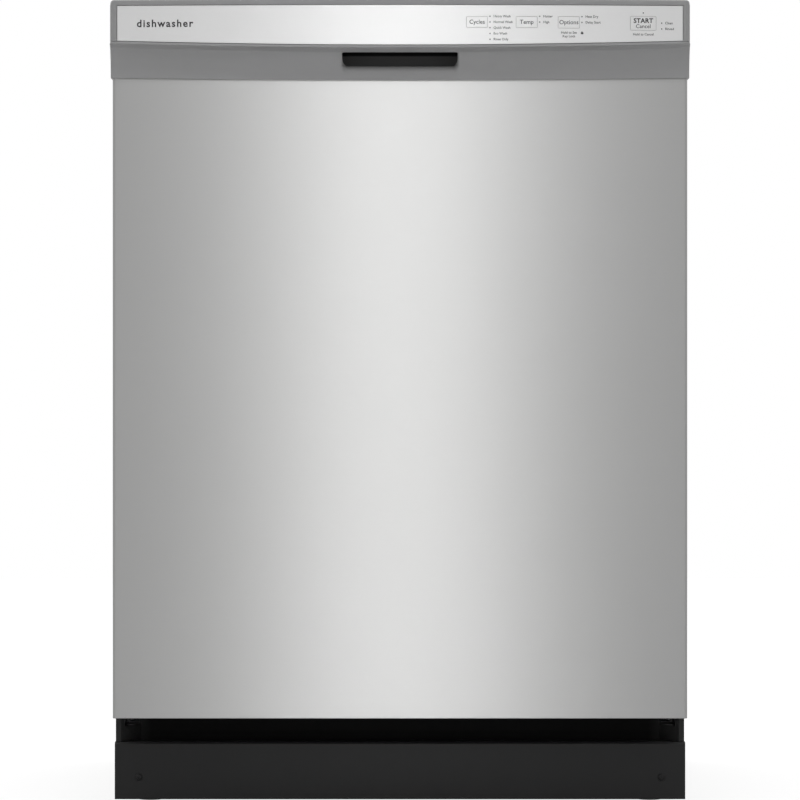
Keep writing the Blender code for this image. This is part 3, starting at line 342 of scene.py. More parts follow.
def make_materials():
    brushed("brushed_steel", (0.502, 0.502, 0.499), 0.275)
    brushed("fascia_silver", (0.97, 0.97, 0.97), 0.41)
    galvanised("galvanised_steel", (0.58, 0.59, 0.60))
    moulded("console_grey", (0.322, 0.322, 0.325), 0.36, vary=0.015)
    moulded("black_plastic", (0.012, 0.012, 0.013), 0.5, shine=0.3)
    moulded("toe_black", (0.0140, 0.0140, 0.0144), 0.45, 0.00006, 700, shine=0.3)
    # painted shade on the base frame: darker in the middle of its front, as the recess's shadow, and lighter
    # towards each end, as painted light where light comes in at the sides
    painted_shade_black("base_black_painted_shade", (0.0022, 0.0022, 0.0022), (0.036, 0.036, 0.036), "X", 0.018, 0.06, 0.08)
    # painted shadow in the grip's pocket: near black towards its top, as the shadow under its upper edge, and
    # a lit grey lower down, as painted light
    painted_shade_black("pocket_painted_shadow", (0.004, 0.004, 0.004), (0.19, 0.19, 0.191), "Z", 0.345, 0.385, 0.2)
    moulded("motor_black", (0.035, 0.035, 0.037), 0.5, 0.0001, 500)
    moulded("tub_grey", (0.44, 0.45, 0.465), 0.42, 0.00002, 900, shine=0.3)
    moulded("rack_grey", (0.36, 0.375, 0.40), 0.38)
    moulded("rack_wire", (0.40, 0.42, 0.45), 0.30, 0.00004, 500, 0.3)
    moulded("white_plastic", (0.74, 0.75, 0.745), 0.36)
    moulded("blue_plastic", (0.05, 0.16, 0.42), 0.32)
    moulded("ink", (0.018, 0.018, 0.02), 0.5)
    rubber("gasket_rubber", (0.045, 0.045, 0.048))
    felt("blanket_felt", (0.075, 0.075, 0.08))
    heated_metal("heater_metal", (0.2, 0.19, 0.185))
    circuit("circuit_green", (0.012, 0.13, 0.05))


# ---------------------------------------------------------------- mesh helpers
def mesh_of(name, bm):
    """The mesh of a bmesh, which is freed."""
    mesh = bpy.data.meshes.new(name)
    bm.to_mesh(mesh)
    bm.free()
    return mesh


def absorb(bm, other):
    """Adds one bmesh to another."""
    mesh = mesh_of("part", other)
    bm.from_mesh(mesh)
    bpy.data.meshes.remove(mesh)


def smoothed(obj, angle):
    """Smooth shading, with edges over an angle left sharp."""
    obj.data.shade_smooth()
    obj.data.set_sharp_from_angle(angle=math.radians(angle))
    return obj


def piece(name, bm, material, smooth=30, body=None, stands_for=()):
    """A new piece from a bmesh, riding on a body. With no body named, it rides with what it stands for."""
    obj = added(name, mesh_of(name, bm))
    obj.data.materials.append(MATERIALS[material])
    if smooth:
        smoothed(obj, smooth)
    if stands_for:
        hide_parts(*stands_for)
        body = body or BODY_OF[stands_for[0]]
    if body:
        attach(obj, body)
    return obj


def bevel(obj, width, segments=2, angle=40):
    modifier = obj.modifiers.new("edges", "BEVEL")
    modifier.width = width
    modifier.segments = segments
    modifier.limit_method = "ANGLE"
    modifier.angle_limit = math.radians(angle)


def crisp(obj, angle=30):
    """Smooth curves, with flat faces that stay truly flat."""
    normals = smoothed(obj, angle).modifiers.new("normals", "WEIGHTED_NORMAL")
    normals.keep_sharp = True
    normals.weight = 50


def bake_modifiers(obj):
    """Turns the object's modifiers into its mesh."""
    graph = bpy.context.evaluated_depsgraph_get()
    mesh = bpy.data.meshes.new_from_object(obj.evaluated_get(graph))
    obj.modifiers.clear()
    obj.data = mesh


def carve(obj, bms, operation="DIFFERENCE"):
    """Cuts the object by each shape for good."""
    helpers = []
    for bm in bms:
        bmesh.ops.recalc_face_normals(bm, faces=bm.faces)
        helpers.append(added("cutter", mesh_of("cutter", bm)))
        modifier = obj.modifiers.new("cut", "BOOLEAN")
        modifier.operation = operation
        modifier.solver = "EXACT"
        modifier.object = helpers[-1]
    bake_modifiers(obj)
    for helper in helpers:
        bpy.data.objects.remove(helper)


def loft(rings):
    """A closed skin over rings that have the same number of points."""
    bm = bmesh.new()
    rows = [[bm.verts.new(p) for p in ring] for ring in rings]
    count = len(rows[0])
    for lower, upper in zip(rows, rows[1:]):
        for i in range(count):
            j = (i + 1) % count
            bm.faces.new((lower[i], lower[j], upper[j], upper[i]))
    bm.faces.new(rows[0])
    bm.faces.new(rows[-1])
    bmesh.ops.recalc_face_normals(bm, faces=bm.faces)
    return bm


def shell_between(bm, near, far):
    """Closes the space between two grids of points, given column by column."""
    columns, rows = len(near) - 1, len(near[0]) - 1
    for a in range(columns):
        for b in range(rows):
            bm.faces.new((near[a][b], near[a + 1][b], near[a + 1][b + 1], near[a][b + 1]))
            bm.faces.new((far[a][b], far[a][b + 1], far[a + 1][b + 1], far[a + 1][b]))
        for b in (0, rows):
            bm.faces.new((near[a][b], near[a + 1][b], far[a + 1][b], far[a][b]))
    for a in (0, columns):
        for b in range(rows):
            bm.faces.new((near[a][b], near[a][b + 1], far[a][b + 1], far[a][b]))
    bmesh.ops.recalc_face_normals(bm, faces=bm.faces)


def placed(axis, u, v, depth):
    """A point from its depth along an axis and its two other coordinates."""
    return {"X": (depth, u, v), "Y": (u, depth, v), "Z": (u, v, depth)}[axis]


def prism(outline, axis, lo, hi):
    return loft([[placed(axis, *p, depth) for p in outline] for depth in (lo, hi)])


def rounded(lo, hi, radii, segments=6):
    """A rectangle with round corners, anticlockwise from the top right. radii is one number or four."""
    radii = [radii] * 4 if isinstance(radii, float) else radii
    signs = ((1, 1), (-1, 1), (-1, -1), (1, -1))
    points = []
    for quarter, ((sx, sy), radius) in enumerate(zip(signs, radii)):
        cx = (hi[0] if sx > 0 else lo[0]) - sx * radius
        cy = (hi[1] if sy > 0 else lo[1]) - sy * radius
        for i in range(segments + 1):
            angle = (quarter + i / segments) * math.pi / 2
            points.append((cx + radius * math.cos(angle), cy + radius * math.sin(angle)))
    return points


def block(bm, lo, hi):
    """A box added to a mesh that gets its round edges from a bevel."""
    made = bmesh.ops.create_cube(bm, size=1.0)
    for v in made["verts"]:
        v.co = [a + (b - a) * (c + 0.5) for a, b, c in zip(lo, hi, v.co)]


def circle(count, radius, centre=(0, 0)):
    """Points evenly spaced round a circle."""
    angles = [math.tau * i / count for i in range(count)]
    return [(centre[0] + radius * math.cos(a), centre[1] + radius * math.sin(a)) for a in angles]


def turned(bm, axis, centre, profile, sides=40, closed=False):
    """A profile of (depth, radius) turned about an axis. A closed profile makes a ring."""
    rings = []
    for depth, radius in profile:
        if radius < 1e-6:
            rings.append([bm.verts.new(placed(axis, *centre, depth))] * sides)
        else:
            rings.append([bm.verts.new(placed(axis, *p, depth)) for p in circle(sides, radius, centre)])
    pairs = list(zip(rings, rings[1:])) + ([(rings[-1], rings[0])] if closed else [])
    for lower, upper in pairs:
        for i in range(sides):
            j = (i + 1) % sides
            corners = []
            for v in (lower[i], lower[j], upper[j], upper[i]):
                if v not in corners:
                    corners.append(v)
            bm.faces.new(corners)
    if not closed:
        for ring in (rings[0], rings[-1]):
            if ring[0] is not ring[1]:
                bm.faces.new(ring)
    bmesh.ops.recalc_face_normals(bm, faces=bm.faces)


def filleted(points, radius, steps=5, closed=False):
    """A route whose corners are turned into bends."""
    points = [Vector(p) for p in points]
    route = []
    for i, here in enumerate(points):
        if not closed and i in (0, len(points) - 1):
            route.append(here)
            continue
        before, after = points[i - 1], points[(i + 1) % len(points)]
        reach = min(radius, (before - here).length * 0.48, (after - here).length * 0.48)
        start = here + (before - here).normalized() * reach
        end = here + (after - here).normalized() * reach
        for t in between(0, 1, steps):
            route.append(start.lerp(here, t).lerp(here.lerp(end, t), t))
    return route


def swept(bm, route, section, closed=False, up=None, scales=None):
    """Carries a section of (across, up) offsets along a route."""
    rings, side = [], None
    for i, here in enumerate(route):
        before = route[i - 1] if closed or i else here
        after = route[(i + 1) % len(route)] if closed or i < len(route) - 1 else here
        along = (after - before).normalized()
        if up:
            side = along.cross(Vector(up)).normalized()
        elif side is None:
            side = along.orthogonal().normalized()
        else:
            side = (side - along * side.dot(along)).normalized()
        above = side.cross(along)
        scale = scales[i] if scales else 1.0
        rings.append([bm.verts.new(here + (side * a + above * b) * scale) for a, b in section])
    for lower, upper in list(zip(rings, rings[1:])) + ([(rings[-1], rings[0])] if closed else []):
        for k in range(len(section)):
            j = (k + 1) % len(section)
            bm.faces.new((lower[k], lower[j], upper[j], upper[k]))
    if not closed:
        bm.faces.new(rings[0])
        bm.faces.new(rings[-1])
    bmesh.ops.recalc_face_normals(bm, faces=bm.faces)


def wire(bm, points, radius, corner=0.0, sides=8, closed=False, domed=False):
    """Round wire, bent at its corners. A domed end is rounded off."""
    route = filleted(points, corner, 4, closed) if corner else [Vector(p) for p in points]
    scales = [1.0] * len(route)
    if domed:
        tip, along = route[-1], (route[-1] - route[-2]).normalized()
        route[-1] = tip - along * radius
        for angle in (30, 60, 80):
            route.append(tip - along * radius * (1 - math.sin(math.radians(angle))))
            scales.append(math.cos(math.radians(angle)))
    swept(bm, route, circle(sides, radius), closed, scales=scales)


def lattice(bm, corner, u, v, holes, bar, depth):
    """A flat moulded grid: a sheet from corner along u and v with rows of square openings."""
    corner, u, v, depth = Vector(corner), Vector(u), Vector(v), Vector(depth)
    marks = []
    for side, count in ((u, holes[0]), (v, holes[1])):
        step = (side.length - bar) / count
        marks.append([m / side.length for i in range(count) for m in (i * step, i * step + bar)]
                     + [1 - bar / side.length, 1.0])
    near = [[bm.verts.new(corner + u * a + v * b) for b in marks[1]] for a in marks[0]]
    far = [[bm.verts.new(corner + depth + u * a + v * b) for b in marks[1]] for a in marks[0]]

    def solid(i, j):
        inside = 0 <= i < len(marks[0]) - 1 and 0 <= j < len(marks[1]) - 1
        return inside and not (i % 2 and j % 2)

    for i in range(-1, len(marks[0])):
        for j in range(-1, len(marks[1])):
            if solid(i, j):
                for side in (near, far):
                    bm.faces.new((side[i][j], side[i + 1][j], side[i + 1][j + 1], side[i][j + 1]))
            if solid(i, j) != solid(i + 1, j):
                bm.faces.new((near[i + 1][j], near[i + 1][j + 1], far[i + 1][j + 1], far[i + 1][j]))
            if solid(i, j) != solid(i, j + 1):
                bm.faces.new((near[i][j + 1], near[i + 1][j + 1], far[i + 1][j + 1], far[i][j + 1]))
    bmesh.ops.recalc_face_normals(bm, faces=bm.faces)


def pad(bm, lo, hi, axis, base, top, radius, soft):
    """A raised, soft-edged field standing on a face: from base to top along an axis."""
    rings = []
    for t in between(0, 1, 5):
        angle = t * math.pi / 2
        inset = soft * (1 - math.cos(angle))
        depth = base + (top - base) * math.sin(angle)
        outline = rounded((lo[0] + inset, lo[1] + inset), (hi[0] - inset, hi[1] - inset), radius - inset, 6)
        rings.append([placed(axis, *p, depth) for p in outline])
    absorb(bm, loft(rings))


def round_of(node, axis="Z"):
    """A round node's box, its centre across an axis, and its radius."""
    lo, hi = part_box(node)
    u, v = [i for i in range(3) if "XYZ"[i] != axis]
    return lo, hi, ((lo[u] + hi[u]) / 2, (lo[v] + hi[v]) / 2), (hi[u] - lo[u]) / 2


def between(a, b, count):
    return [a + (b - a) * i / count for i in range(count + 1)]


# ---------------------------------------------------------------- the console's face
CONSOLE_LO, CONSOLE_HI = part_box("console_housing")
FASCIA_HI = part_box("console_fascia")[1]
DOOR_LO, DOOR_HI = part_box("door_outer_panel")
HALF = CONSOLE_HI.x
BOW = 0.010  # how far the face falls back at its ends
CREASE_Z, CREASE_RISE = 0.8000, 0.0050  # each rise is how much higher a line is at the ends
CREASE_ROUND, CREASE_DROP = 0.0008, 0.0004
FOOT_Z, FOOT_RISE = CONSOLE_LO.z, 0.0024
UNDERCUT = 0.26  # the share of the lower band's depth that lies right under the crease
TOP_ROUND, END_ROUND, CORNER_ROUND = 0.0018, 0.0020, 0.0042
CASE_INSET = 0.0005  # the case above the crease is this much narrower each side than the band below it
CONSOLE_WALL = 0.0028
FASCIA_HALF, FASCIA_TOP = FASCIA_HI.x + 0.0003, FASCIA_HI.z + 0.0003  # the recess, not the strip in it
FASCIA_BOTTOM, FASCIA_RISE = 0.8029, 0.0050
FASCIA_RECESS = 0.0034
FASCIA_FRONT = NOSE_Y + 0.0005
FASCIA_LEAN = 0.0010  # how far the case falls back between the crease and the strip
FASCIA_BEVEL = 0.00012
GROOVE = 0.0004  # between the strip and the recess's wall
EITHER_SIDE = 0.0001  # from the recess's wall to the rows and columns each side of it
GRIP_HALF, GRIP_TOP = 0.0612, 0.7963
LIP_Z, LIP_R = 0.7728, 0.0106  # the rounded lip under the grip


def bow(x):
    return BOW * (x / HALF) ** 2


def rise(x, base, amount):
    return base + amount * (x / HALF) ** 2


def smoothstep(t):
    t = min(max(t, 0.0), 1.0)
    return t * t * (3 - 2 * t)


def console_face(x, z):
    """How far back the console's face lies at x and z, before the fascia's recess."""
    crease, foot = rise(x, CREASE_Z, CREASE_RISE), rise(x, FOOT_Z, FOOT_RISE)
    nose = NOSE_Y + bow(x)
    y_foot = DOOR_LO.y - 0.0045 + bow(x) * 0.1
    top = CONSOLE_HI.z
    if z >= crease:
        y = nose
        rim = rise(x, FASCIA_BOTTOM, FASCIA_RISE)
        if z > top - TOP_ROUND:
            t = (z - top + TOP_ROUND) / TOP_ROUND
            y += TOP_ROUND * (1 - math.sqrt(max(0.0, 1 - t * t)))
        if z < crease + CREASE_ROUND:
            t = (crease + CREASE_ROUND - z) / CREASE_ROUND
            y += CREASE_DROP * t * t
        elif z < rim:
            y += FASCIA_LEAN * (z - crease - CREASE_ROUND) / (rim - crease - CREASE_ROUND)
        return y
    t = (crease - z) / (crease - foot)
    bend = UNDERCUT * min(1.0, t * 9) ** 0.8 + (1 - UNDERCUT) * (1 - (1 - t) ** 2.2)
    y = nose + CREASE_DROP + (y_foot - nose - CREASE_DROP) * bend
    if abs(x) < GRIP_HALF + 0.002 and z > LIP_Z:
        side = smoothstep((GRIP_HALF + 0.001 - abs(x)) / 0.006)
        up = min((z - LIP_Z) / LIP_R, 1.0)
        fade = min(max((GRIP_TOP - 0.0010 - z) / 0.0020, 0.0), 1.0)
        y += side * fade * (LIP_R - math.sqrt(max(0.0, LIP_R**2 * (1 - up * up))))
    return y


def end_round(x):
    """How far back the rounded outer edges take the face."""
    inside = HALF - abs(x)
    if inside >= END_ROUND:
        return 0.0
    return END_ROUND - math.sqrt(max(0.0, END_ROUND**2 - (END_ROUND - inside) ** 2))


def console_rows(x):
    """The heights of the face's rows at x, closest together at the crease, the fascia and the grip."""
    foot, crease = rise(x, FOOT_Z, FOOT_RISE), rise(x, CREASE_Z, CREASE_RISE)
    bottom = rise(x, FASCIA_BOTTOM, FASCIA_RISE)
    lip, grip = LIP_Z + (foot - FOOT_Z), crease - (CREASE_Z - GRIP_TOP)
    rows = between(foot, lip, 8) + between(lip, lip + LIP_R, 12)[1:] + between(lip + LIP_R, grip, 10)[1:]
    rows += between(grip, crease, 8)[1:] + [crease + 0.0003, crease + CREASE_ROUND]
    rows += between(crease + 0.0012, bottom - EITHER_SIDE, 2) + [bottom + EITHER_SIDE]
    rows += between(bottom + 0.0003, FASCIA_TOP - 0.0003, 6)
    rows += [FASCIA_TOP - EITHER_SIDE, FASCIA_TOP + EITHER_SIDE]
    return rows + [CONSOLE_HI.z - TOP_ROUND * (1 - math.sin(a)) for a in between(0, math.pi / 2, 8)]


def console_columns():
    """The columns' places across, closest together at the grip's sides and the outer edges."""
    end = [HALF - END_ROUND * (1 - math.cos(a)) for a in between(0, math.pi / 2, 7)][::-1]
    right = between(0, 0.050, 10) + between(0.050, 0.064, 28)[1:]
    right += between(0.064, FASCIA_HALF - EITHER_SIDE, 40)[1:] + [FASCIA_HALF + EITHER_SIDE]
    right += between(FASCIA_HALF + 0.0008, HALF - END_ROUND, 3)[:-1] + end
    return [-x for x in right[:0:-1]] + right


def in_fascia(x, z):
    return abs(x) < FASCIA_HALF and rise(x, FASCIA_BOTTOM, FASCIA_RISE) < z < FASCIA_TOP


def corner_trim(x, z):
    """Pulls the case's sides in above the crease, and its top corners in to a radius, seen from the front."""
    cx, cz = HALF - CASE_INSET - CORNER_ROUND, CONSOLE_HI.z - CORNER_ROUND
    ax = abs(x)
    above = smoothstep((z - rise(x, CREASE_Z, CREASE_RISE)) / 0.0006)
    ax -= CASE_INSET * above * smoothstep((ax - FASCIA_HALF - 0.0010) / (HALF - FASCIA_HALF - 0.0010))
    if ax > cx and z > cz:
        away = max(ax - cx, z - cz)
        length = math.hypot(ax - cx, z - cz)
        if length > 0:
            ax, z = cx + (ax - cx) * away / length, cz + (z - cz) * away / length
    return math.copysign(ax, x), z


def make_console():
    """The grey console: a curved shell with a recess for the fascia and a scooped grip."""
    bm = bmesh.new()
    front, rear = [], []
    for x in console_columns():
        front.append([])
        rear.append([])
        for z in console_rows(x):
            y = console_face(x, z) + end_round(x)
            if in_fascia(x, z):
                y += FASCIA_RECESS
            at_x, at_z = corner_trim(x, z)
            at_wall = HALF - abs(x) < CONSOLE_WALL or CONSOLE_HI.z - z < CONSOLE_WALL
            y_rear = CONSOLE_HI.y if at_wall else min(y + CONSOLE_WALL, CONSOLE_HI.y)
            front[-1].append(bm.verts.new((at_x, y, at_z)))
            rear[-1].append(bm.verts.new((at_x, y_rear, at_z)))
    shell_between(bm, front, rear)
    console = piece("console_shell", bm, "console_grey", 40, stands_for=["console_housing"])
    floor = LIP_Z + LIP_R - 0.0006
    outline = rounded((-GRIP_HALF, floor), (GRIP_HALF, GRIP_TOP), [0.0025, 0.0025, 0.0055, 0.0055])
    outline = [(x * (0.975 + 0.025 * (z - floor) / (GRIP_TOP - floor)), z) for x, z in outline]
    carve(console, [prism(outline, "Y", NOSE_Y - 0.01, DOOR_LO.y + 0.0150)])
    smoothed(console, 38)


def bowed_sheet(x_lines, z_low, z_high, thick):
    """A plate that follows the console's bow. z_low is a function of x."""
    bm = bmesh.new()
    sides = [[[bm.verts.new((x, FASCIA_FRONT + depth + bow(x), z)) for z in (z_low(x), z_high)]
              for x in x_lines] for depth in (0.0, thick)]
    shell_between(bm, *sides)
    return bm


KEYS = ("cycle_button", "temp_button", "option_button", "start_button")
KEY_ROUND, KEY_GAP = 0.0009, 0.0003


def key_cut(key, gap, depth):
    """A shape that cuts out a key, or the hole for it."""
    lo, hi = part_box(key)
    outline = rounded((lo.x - gap, lo.z - gap), (hi.x + gap, hi.z + gap), KEY_ROUND + gap)
    return prism(outline, "Y", NOSE_Y - 0.01, NOSE_Y + depth)


def make_fascia():
    """The silver strip and its four keys, each with a fine gap round it."""
    half = FASCIA_HALF - GROOVE
    sheet = bowed_sheet(between(-half, half, 96), lambda x: rise(x, FASCIA_BOTTOM, FASCIA_RISE) + GROOVE,
                        FASCIA_TOP - GROOVE, 0.0012)
    fascia = piece("fascia_strip", sheet, "fascia_silver", 30, stands_for=["console_fascia"])
    carve(fascia, [key_cut(key, KEY_GAP, 0.02) for key in KEYS])
    bevel(smoothed(fascia, 30), FASCIA_BEVEL, 1, 50)
    for key in KEYS:
        lo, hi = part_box(key)
        blank = bowed_sheet(between(lo.x - 0.001, hi.x + 0.001, 8), lambda x: lo.z - 0.001, hi.z + 0.001,
                            0.0016)
        cap = piece(f"{key}_pad", blank, "fascia_silver", 30, stands_for=[key])
        carve(cap, [key_cut(key, 0.0, 0.03)], "INTERSECT")
        bevel(smoothed(cap, 30), FASCIA_BEVEL, 1, 50)


# ---------------------------------------------------------------- printing on the fascia
PRINT_LIFT = 0.00005
SMALL_PRINT = 0.00245
CAPITAL_SHARE = 0.70  # a capital letter's height over the lettering's size
LINE_STEP = 0.0060
NAME_AT = (-0.2755, 0.8255)


def onto_fascia(obj):
    """Lays flat lettering, drawn in x and z, onto the bowed fascia."""
    for v in obj.data.vertices:
        v.co.y += FASCIA_FRONT - PRINT_LIFT + bow(v.co.x)


def words(name, text, x, z, height, body="door", align="LEFT", weight=0.018, spacing=1.0):
    """Lettering in ink. height is a capital's, and weight thickens the strokes by that share of it."""
    curve = bpy.data.curves.new(name, "FONT")
    curve.body = text
    curve.space_character = spacing
    curve.size = height / CAPITAL_SHARE
    curve.align_x = align
    curve.align_y = "CENTER"
    curve.offset = weight * height
    curve.resolution_u = 3
    drawn = added("lettering", curve)
    bpy.context.view_layer.update()
    mesh = bpy.data.meshes.new_from_object(drawn.evaluated_get(bpy.context.evaluated_depsgraph_get()))
    bpy.data.objects.remove(drawn)
    mesh.transform(Matrix.Translation((x, 0, z)) @ Matrix.Rotation(math.pi / 2, 4, "X"))
    mesh.materials.clear()
    mesh.materials.append(MATERIALS["ink"])
    label = added(name, mesh)
    onto_fascia(label)
    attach(label, body)


def dots(name, places, radius=0.00068):
    bm = bmesh.new()
    for x, z in places:
        ring = [bm.verts.new((u, 0, v)) for u, v in circle(14, radius, (x, z))]
        bm.faces.new(ring[::-1])
    onto_fascia(piece(name, bm, "ink", 0, body="door"))


def padlock(name, x, z):
    """A small lock sign: a body with an arch over it."""
    bm = bmesh.new()
    half, low, high = 0.0013, z - 0.0014, z + 0.0004
    corners = ((x - half, low), (x + half, low), (x + half, high), (x - half, high))
    bm.faces.new([bm.verts.new((a, 0, b)) for a, b in corners])
    arch = between(0, math.pi, 10)
    inner, outer = [[bm.verts.new((x + r * math.cos(a), 0, high + r * math.sin(a))) for a in arch]
                    for r in (0.0005, 0.0010)]
    for i in range(len(arch) - 1):
        bm.faces.new((inner[i], outer[i], outer[i + 1], inner[i + 1]))
    onto_fascia(piece(name, bm, "ink", 0, body="door"))


def make_printing():
    """Plain words for what the keys and lamps do."""
    centre = {key: (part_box(key)[0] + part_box(key)[1]) / 2 for key in KEYS}
    for key, text in zip(KEYS, ("Cycles", "Temp", "Options")):
        words(f"{key}_word", text, centre[key].x, centre[key].z, 0.0043, key, "CENTER", 0.012)
    start = centre["start_button"]
    words("start_word", "START", start.x, start.z + 0.0025, 0.0047, "start_button", "CENTER", 0.04, 1.05)
    words("cancel_word", "Cancel", start.x, start.z - 0.0033, 0.0040, "start_button", "CENTER", 0.01)
    columns = {
        "cycle_button": ("Heavy Wash", "Normal Wash", "Quick Wash", "Eco Wash", "Rinse Only"),
        "temp_button": ("Hotter", "High"),
        "option_button": ("Heat Dry", "Delay Start"),
    }
    spots = []
    for key, names in columns.items():
        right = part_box(key)[1].x
        top = centre[key].z + LINE_STEP
        for i, text in enumerate(names):
            spots.append((right + 0.0026, top - i * LINE_STEP))
            words(f"{key}_choice_{i}", text, right + 0.0062, top - i * LINE_STEP, SMALL_PRINT)
    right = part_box("start_button")[1].x
    for i, text in enumerate(("Clean", "Rinsed")):
        spots.append((right + 0.0060, start.z + 0.0002 - i * LINE_STEP))
        words(f"lamp_word_{i}", text, right + 0.0095, start.z + 0.0002 - i * LINE_STEP, SMALL_PRINT)
    spots.append((start.x, start.z + 0.0108))
    dots("lamp_dots", spots)
    options = centre["option_button"]
    words("lock_hint", "Hold to Set", options.x, options.z - 0.0107, SMALL_PRINT, align="CENTER")
    words("lock_hint_more", "Key Lock", options.x, options.z - 0.0145, SMALL_PRINT, align="CENTER")
    padlock("lock_sign", options.x + 0.0138, options.z - 0.0108)
    words("cancel_hint", "Hold to Cancel", start.x, start.z - 0.0116, SMALL_PRINT, align="CENTER")
    words("plain_name", "dishwasher", *NAME_AT, 0.0075, weight=0.03, spacing=1.22)


# ---------------------------------------------------------------- door
def make_door_skin():
    """A folded stainless sheet with rolled edges."""
    radius, foot_radius, sheet = 0.0030, 0.0007, 0.0010
    lo, hi = DOOR_LO, DOOR_HI
    outer = [(lo.x, hi.y)]
    for cx, start in ((lo.x + radius, math.pi), (hi.x - radius, 1.5 * math.pi)):
        outer += [(cx + radius * math.cos(a), lo.y + radius + radius * math.sin(a))
                  for a in between(start, start + math.pi / 2, 10)]
    outer.append((hi.x, hi.y))
    rings = []
    for a in between(0, math.pi / 2, 6):
        drop, back = foot_radius * (1 - math.sin(a)), foot_radius * (1 - math.cos(a))
        rings.append([(x, max(y, lo.y) + (drop if y < lo.y + 0.02 else 0), lo.z + back) for x, y in outer])
    rings.append([(x, y, hi.z) for x, y in outer])
    bm = bmesh.new()
    rows = [[bm.verts.new(p) for p in ring] for ring in rings]
    for lower, upper in zip(rows, rows[1:]):
        for i in range(len(outer) - 1):
            bm.faces.new((lower[i], lower[i + 1], upper[i + 1], upper[i]))
    lip = [bm.verts.new((v.co.x, max(v.co.y, lo.y + 0.015), lo.z)) for v in rows[0]]
    for i in range(len(outer) - 1):
        if max(a.co.y - b.co.y for a, b in zip(lip[i:i + 2], rows[0][i:i + 2])) > 1e-5:
            bm.faces.new((rows[0][i + 1], rows[0][i], lip[i], lip[i + 1]))
    bmesh.ops.remove_doubles(bm, verts=bm.verts, dist=1e-6)
    bmesh.ops.delete(bm, geom=[v for v in bm.verts if not v.link_faces], context="VERTS")
    bmesh.ops.recalc_face_normals(bm, faces=bm.faces)
    skin = piece("door_skin", bm, "brushed_steel", 50, stands_for=["door_outer_panel"])
    wall = skin.modifiers.new("sheet", "SOLIDIFY")
    wall.thickness = sheet
    wall.offset = -1
    bake_modifiers(skin)
    crisp(skin, 35)


# ---------------------------------------------------------------- carried-over CAD nodes
EDGE = {  # how wide each node's softened edges are, where that isn't 0.4 mm
    "toe_kick": 0.0006,
    "base_frame": 0.0008,
    "tub": 0.0008,
    "door_inner_liner": 0.0007,
    "front_frame": 0.0005,
    "filter_plate": 0.0003,
    "latch_strike": 0.0003,
}
PAINTED_SHADE_MATERIALS = {"base_frame": "base_black_painted_shade", "handle_pocket": "pocket_painted_shadow"}  # materials with painted shade, in place of their slots' materials


def finish_cad_nodes():
    """Gives every CAD node its material and softened edges."""
    for name, obj in NODES.items():
        obj.data.materials.clear()
        obj.data.materials.append(MATERIALS[PAINTED_SHADE_MATERIALS.get(name, SLOT_OF[name])])
        weld = obj.modifiers.new("weld", "WELD")
        weld.merge_threshold = 0.00002
        bevel(obj, EDGE.get(name, 0.0004), 2)


# ---------------------------------------------------------------- racks
WIRE_R, THIN_R, RIM_R = 0.0024, 0.0017, 0.0026
LEVELS = {"lower_rack": (0.1965, 0.2650, 0.3300), "upper_rack": (0.4780, 0.5300, 0.6000)}  # floor, both rims
HALVES = {"lower_rack": (0.2360, 0.2600), "upper_rack": (0.2300, 0.2560)}  # half widths, floor and top rim
RACK_FRONT, RACK_BACK = -0.2050, 0.2480
WHEEL_Y = (-0.105, 0.180)  # the lower rack's axles
CROSS_WIRES, LONG_WIRES = 16, 7
HOOP_INSET = 0.035


def rack_wires(bm, node):
    """Hoops both ways, two rims, and thinner wires between the hoops."""
    low, middle, high = LEVELS[node]
    floor_half, top_half = HALVES[node]
    for i, y in enumerate(between(RACK_FRONT + HOOP_INSET, RACK_BACK - HOOP_INSET, CROSS_WIRES - 1)):
        main = i % 3 == 0
        wire(bm, [(-top_half, y, high), (-floor_half, y, low), (floor_half, y, low), (top_half, y, high)],
             WIRE_R if main else THIN_R, 0.014)
    for x in between(-floor_half + 0.030, floor_half - 0.030, LONG_WIRES - 1):
        z = low + WIRE_R * 1.6
        wire(bm, [(x, RACK_FRONT + WIRE_R, high), (x, RACK_FRONT + 0.016, z), (x, RACK_BACK - 0.016, z),
                  (x, RACK_BACK - WIRE_R, high)], WIRE_R, 0.014)
    share = (middle - low) / (high - low)
    middle_half = floor_half + (top_half - floor_half) * share
    for z, half, gap in ((high, top_half, 0.0018), (middle, middle_half, 0.0080)):
        corners = [(-half, RACK_FRONT + gap, z), (half, RACK_FRONT + gap, z),
                   (half, RACK_BACK - gap, z), (-half, RACK_BACK - gap, z)]
        wire(bm, corners, RIM_R, 0.020, 10, closed=True)


def one_side(side, near, far):
    """Two distances from the middle as places across, lowest first. side is -1 or 1."""
    return sorted((side * near, side * far))


def tines(bm, node, rows, height, lean):
    """Rows of upright pins, each row on a wire of its own."""
    low = LEVELS[node][0] + WIRE_R * 1.6
    front, back, gap = -0.165, 0.205, 0.030
    for x in rows:
        wire(bm, [(x, front - 0.004, low), (x, back + 0.004, low)], THIN_R)
        for y in between(front, back, round((back - front) / gap)):
            wire(bm, [(x, y, low), (x + lean, y, low + height)], THIN_R, domed=True)


